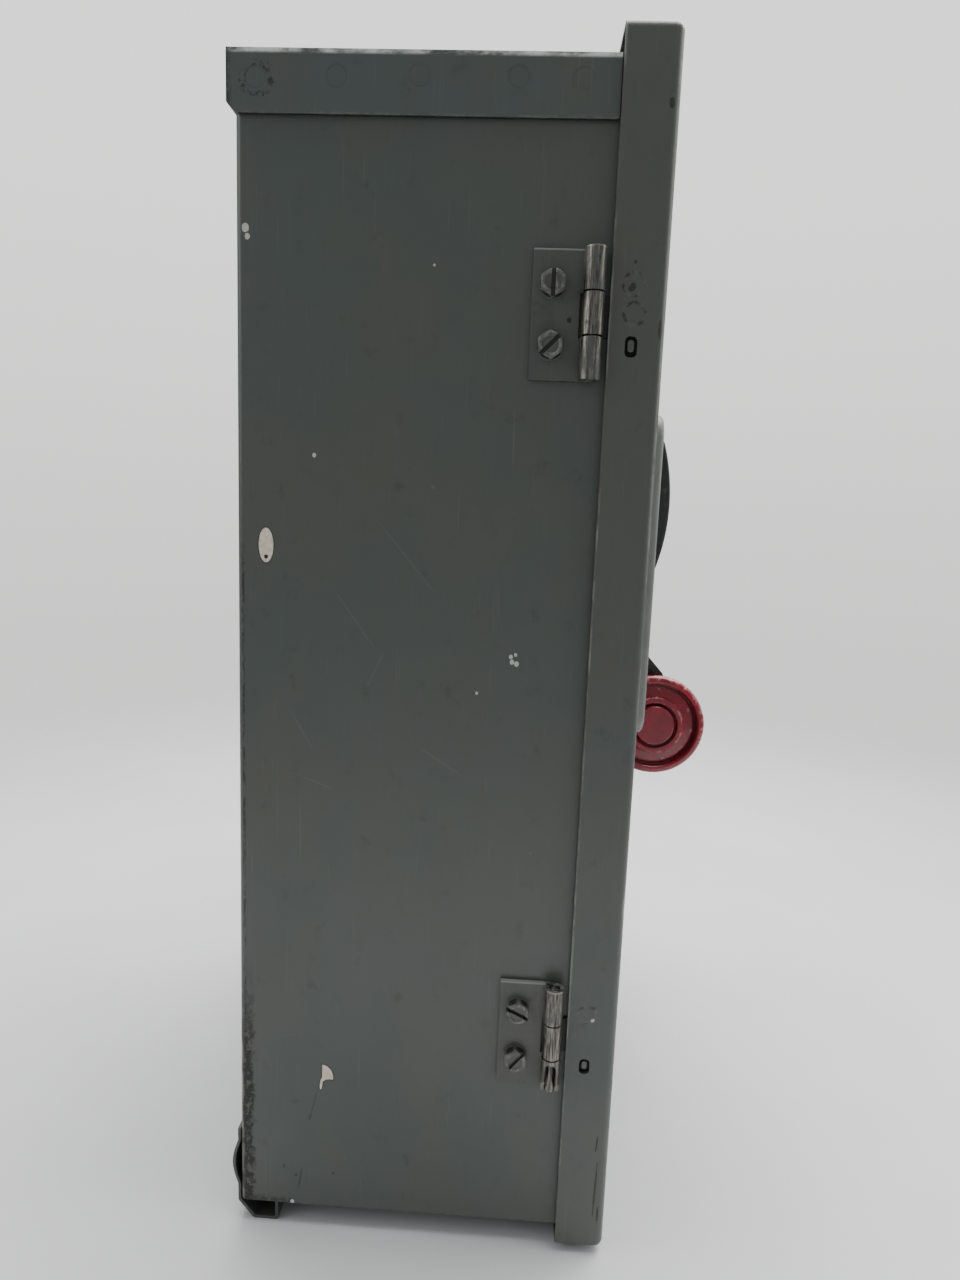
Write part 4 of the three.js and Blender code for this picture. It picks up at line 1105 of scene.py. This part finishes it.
def build_grip():
    """The end knob with its stepped rings, seen end-on, and the waisted barrel behind it."""
    low, high = place("grip_end_knob")
    radius = (high.z - low.z) / 2
    knob = high.x - low.x
    button, ring, groove = 0.40 * radius, 0.58 * radius, 0.81 * radius
    profile = ([(0, 0.25), (button - 0.9, 0.3)] + arc(button - 0.9, 1.2, 0.9, -90, 0, 6)
               + [(button, 2.1), (button + 0.5, 2.5), (button + 1.1, 2.3)]
               + arc(button + 1.9, 1.75, 0.8, 180, 270, 6) + arc(ring - 0.8, 1.75, 0.8, -90, 0, 6)
               + [(ring + 0.25, 2.3), (groove - 2.6, 2.75), (groove - 0.7, 3.3), (groove, 3.6),
                  (groove + 0.55, 3.3)] + arc(groove + 2.3, 2.5, 1.7, 190, 260, 6)
               + arc(radius - 2.0, 3.0, 2.0, -65, 0, 8) + arc(radius - 2.2, 4.4, 2.2, 0, 80, 8)
               + [(0.80 * radius, knob - 0.3), (0.76 * radius, knob), (GRIP_BORE, knob),
                  (GRIP_BORE, knob / 2), (0, knob / 2)])
    end = turned("knob", profile, "x", (low.x, GRIP_Y, GRIP_Z), steps=128)
    show(soften(end, 0, smooth=48), "grip_ringed_end", "handle", GRIP_RED, "grip_end_knob")

    low, high = place("grip_barrel")
    length, barrel = high.x - low.x, (high.z - low.z) / 2
    waist = [(barrel - 1.45 + 1.2 * (2 * k / 12 - 1) ** 2, 4 + (length - 10) * k / 12) for k in range(13)]
    profile = ([(GRIP_BORE, 0), (barrel - 2, 0), (barrel - 0.5, 0.5), (barrel, 2)] + waist
               + [(barrel, length - 4), (barrel - 0.4, length - 2.2), (barrel - 2, length - 0.8),
                  (barrel - 5, length), (0, length), (0, length - 8), (GRIP_BORE, length - 8),
                  (GRIP_BORE, 0)])
    body = turned("barrel", profile, "x", (low.x, GRIP_Y, GRIP_Z), steps=96)
    show(soften(body, 0, smooth=48), "grip_waisted_barrel", "handle", GRIP_RED, "grip_barrel")


# ---------------- latch
def build_latch():
    """A hook on a pivot; its open mouth takes the stud on the door's skirt."""
    low, high = place("latch_hook")
    y, z, reach, stud = LATCH_Y, LATCH_Z, 36, 2.5
    mouth, half = z - reach, stud + 0.5
    outline = fillet([(y - 5, z + 4), (y - 5, mouth - 3), (y - 2, mouth - 7), (y + 4, mouth - 7),
                      (y + 6, mouth), (y + 5, z + 4), (y + 2, z + 6), (y - 2, z + 6)],
                     [2, 1.5, 2, 2.5, 3, 2, 2.5, 2.5])
    hook = prism("hook", outline, "x", low.x, high.x)
    opening = ([(y - 12, mouth - half - 1.1), (y - 5, mouth - half), (y, mouth - half)]
               + arc(y, mouth, half, -90, 90, 12)
               + [(y - 5, mouth + half), (y - 12, mouth + half + 1.1)])
    cut(hook, prism("mouth", opening, "x", low.x - 3, high.x + 3),
        rod("pivot", "x", stud + 0.3, low.x - 3, high.x + 3, y, z))
    soften(hook, 0.3, 2)
    show(hook, "latch_strap_hook", "latch", ZINC, "latch_hook")
    build_stud("latch_pivot_rivet", "enclosure", "latch_pivot_stud")


# ---------------- inner works
def refined(node, body, finish, width, extras=()):
    """A smoother version of a CAD node, with rounded edges and added detail."""
    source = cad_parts[node]
    bm = bmesh.new()
    bm.from_mesh(source.data)
    bmesh.ops.remove_doubles(bm, verts=bm.verts, dist=SAME_POINT)
    piece = mesh_object(node + "_fine", bm)
    soften(piece, width, 2, 34, 36)
    if extras:
        piece = gather(node + "_fine", piece, *(soften(extra, 0.15, 1) for extra in extras))
    show(piece, node + "_fine", body, finish, node)


def build_inner_works():
    refined("bottom_end", "enclosure", ENCLOSURE_PAINT, 0.3)
    refined("switch_base", "enclosure", PHENOLIC, 0.8)
    refined("rotor_shaft", "rotor", PHENOLIC, 0.25)
    refined("drive_fork", "rotor", ZINC, 0.35)
    refined("drive_lever", "handle", ZINC, 0.35)
    refined("handle_shaft", "handle", ZINC, 0.5)
    refined("grip_spindle", "handle", ZINC, 0.4)
    refined("ground_bar", "enclosure", ZINC, 0.6)
    for side in ("left", "right"):
        refined(f"{side}_rotor_bearing", "enclosure", ZINC, 0.35)
        refined(f"{side}_bearing_bracket", "door", ZINC, 0.35)
    for i in (1, 2, 3):
        refined(f"rotor_blade_{i}", "rotor", COPPER, 0.35)
        for node, screws in ((f"line_terminal_{i}", lug_screw(f"line_terminal_{i}", 318)),
                             (f"load_terminal_{i}", ()),
                             (f"fuse_outlet_{i}", lug_screw(f"fuse_outlet_{i}", 116))):
            refined(node, "enclosure", COPPER, 0.25, screws)
        build_fuse(f"fuse_{i}")
    for node in [f"base_screw_{i}" for i in (1, 2, 3, 4)] + [f"ground_screw_{i}" for i in (1, 2)]:
        build_pan_screw(node)


def lug_screw(node, z):
    """A slotted set screw sunk in the front hole of a lug."""
    x, front = middle_of(node)[0], 99.0
    screw = rod("set_screw", "y", 2.4, front + 0.6, front + 5, x, z, 32)
    return [cut(screw, slab("slot", x - 3, x + 3, front, front + 1.4, z - 0.35, z + 0.35))]


def build_fuse(node):
    """A cartridge fuse: fibre tube, two rolled end caps and a plain paper band."""
    low, high = place(node)
    x, y, _ = middle_of(node)
    radius, length = (high.x - low.x) / 2, high.z - low.z

    def cap(start, way):
        points = [(0, 0), (radius - 0.9, 0), (radius - 0.25, 0.25), (radius, 0.9), (radius, 11.6),
                  (radius - 0.25, 12.0), (radius, 12.4), (radius, 14.6), (radius - 0.35, 15), (0, 15)]
        return turned("cap", [(r, way * a) for r, a in points], "z", (x, y, start), steps=64)

    ferrules = gather("ferrules", cap(low.z, 1), cap(high.z, -1))
    show(soften(ferrules, 0), f"{node}_ferrules", "enclosure", COPPER)
    end, fibre, band, half = 14.5, radius - 0.5, radius - 0.4, length / 2
    profile = [(0, end), (fibre, end), (fibre, half - 7), (band, half - 6.9), (band, half + 6.9),
               (fibre, half + 7), (fibre, length - end), (0, length - end)]
    tube = turned("tube", profile, "z", (x, y, low.z), steps=64)
    show(soften(tube, 0), f"{node}_tube", "enclosure", FIBRE, node)


def build_pan_screw(node):
    """A slotted pan head facing the door, on its shank."""
    low, high = place(node)
    x, _, z = middle_of(node)
    radius, length = (high.x - low.x) / 2, high.y - low.y
    shank = radius / 1.9
    profile = [(0, 0), (radius * 0.45, 0.06), (radius * 0.8, 0.45), (radius, 1.2), (radius, 2.2),
               (shank, 2.2), (shank, length - 0.6), (shank - 0.5, length), (0, length)]
    screw = turned("screw", profile, "y", (x, low.y, z), steps=48)
    angle = rng.uniform(0, math.pi)
    c, s = math.cos(angle), math.sin(angle)
    slot = [(x + a * c - b * s, z + a * s + b * c) for a, b in bar_corners(radius + 1, 0.5)]
    cut(screw, prism("slot", slot, "y", low.y - 1, low.y + 1.1))
    show(soften(screw, 0), f"{node}_pan_head", "enclosure", ZINC, node)


# ---------------- whole scene
aim_camera()
lay_floor()
light_stage()
build_wrapper()
build_cap()
build_feet()
build_hinges()
build_hinge_screws()
build_door()
build_guard()
build_stud("door_latch_rivet", "door", "door_latch_stud")
build_arm()
build_grip()
build_latch()
build_inner_works()
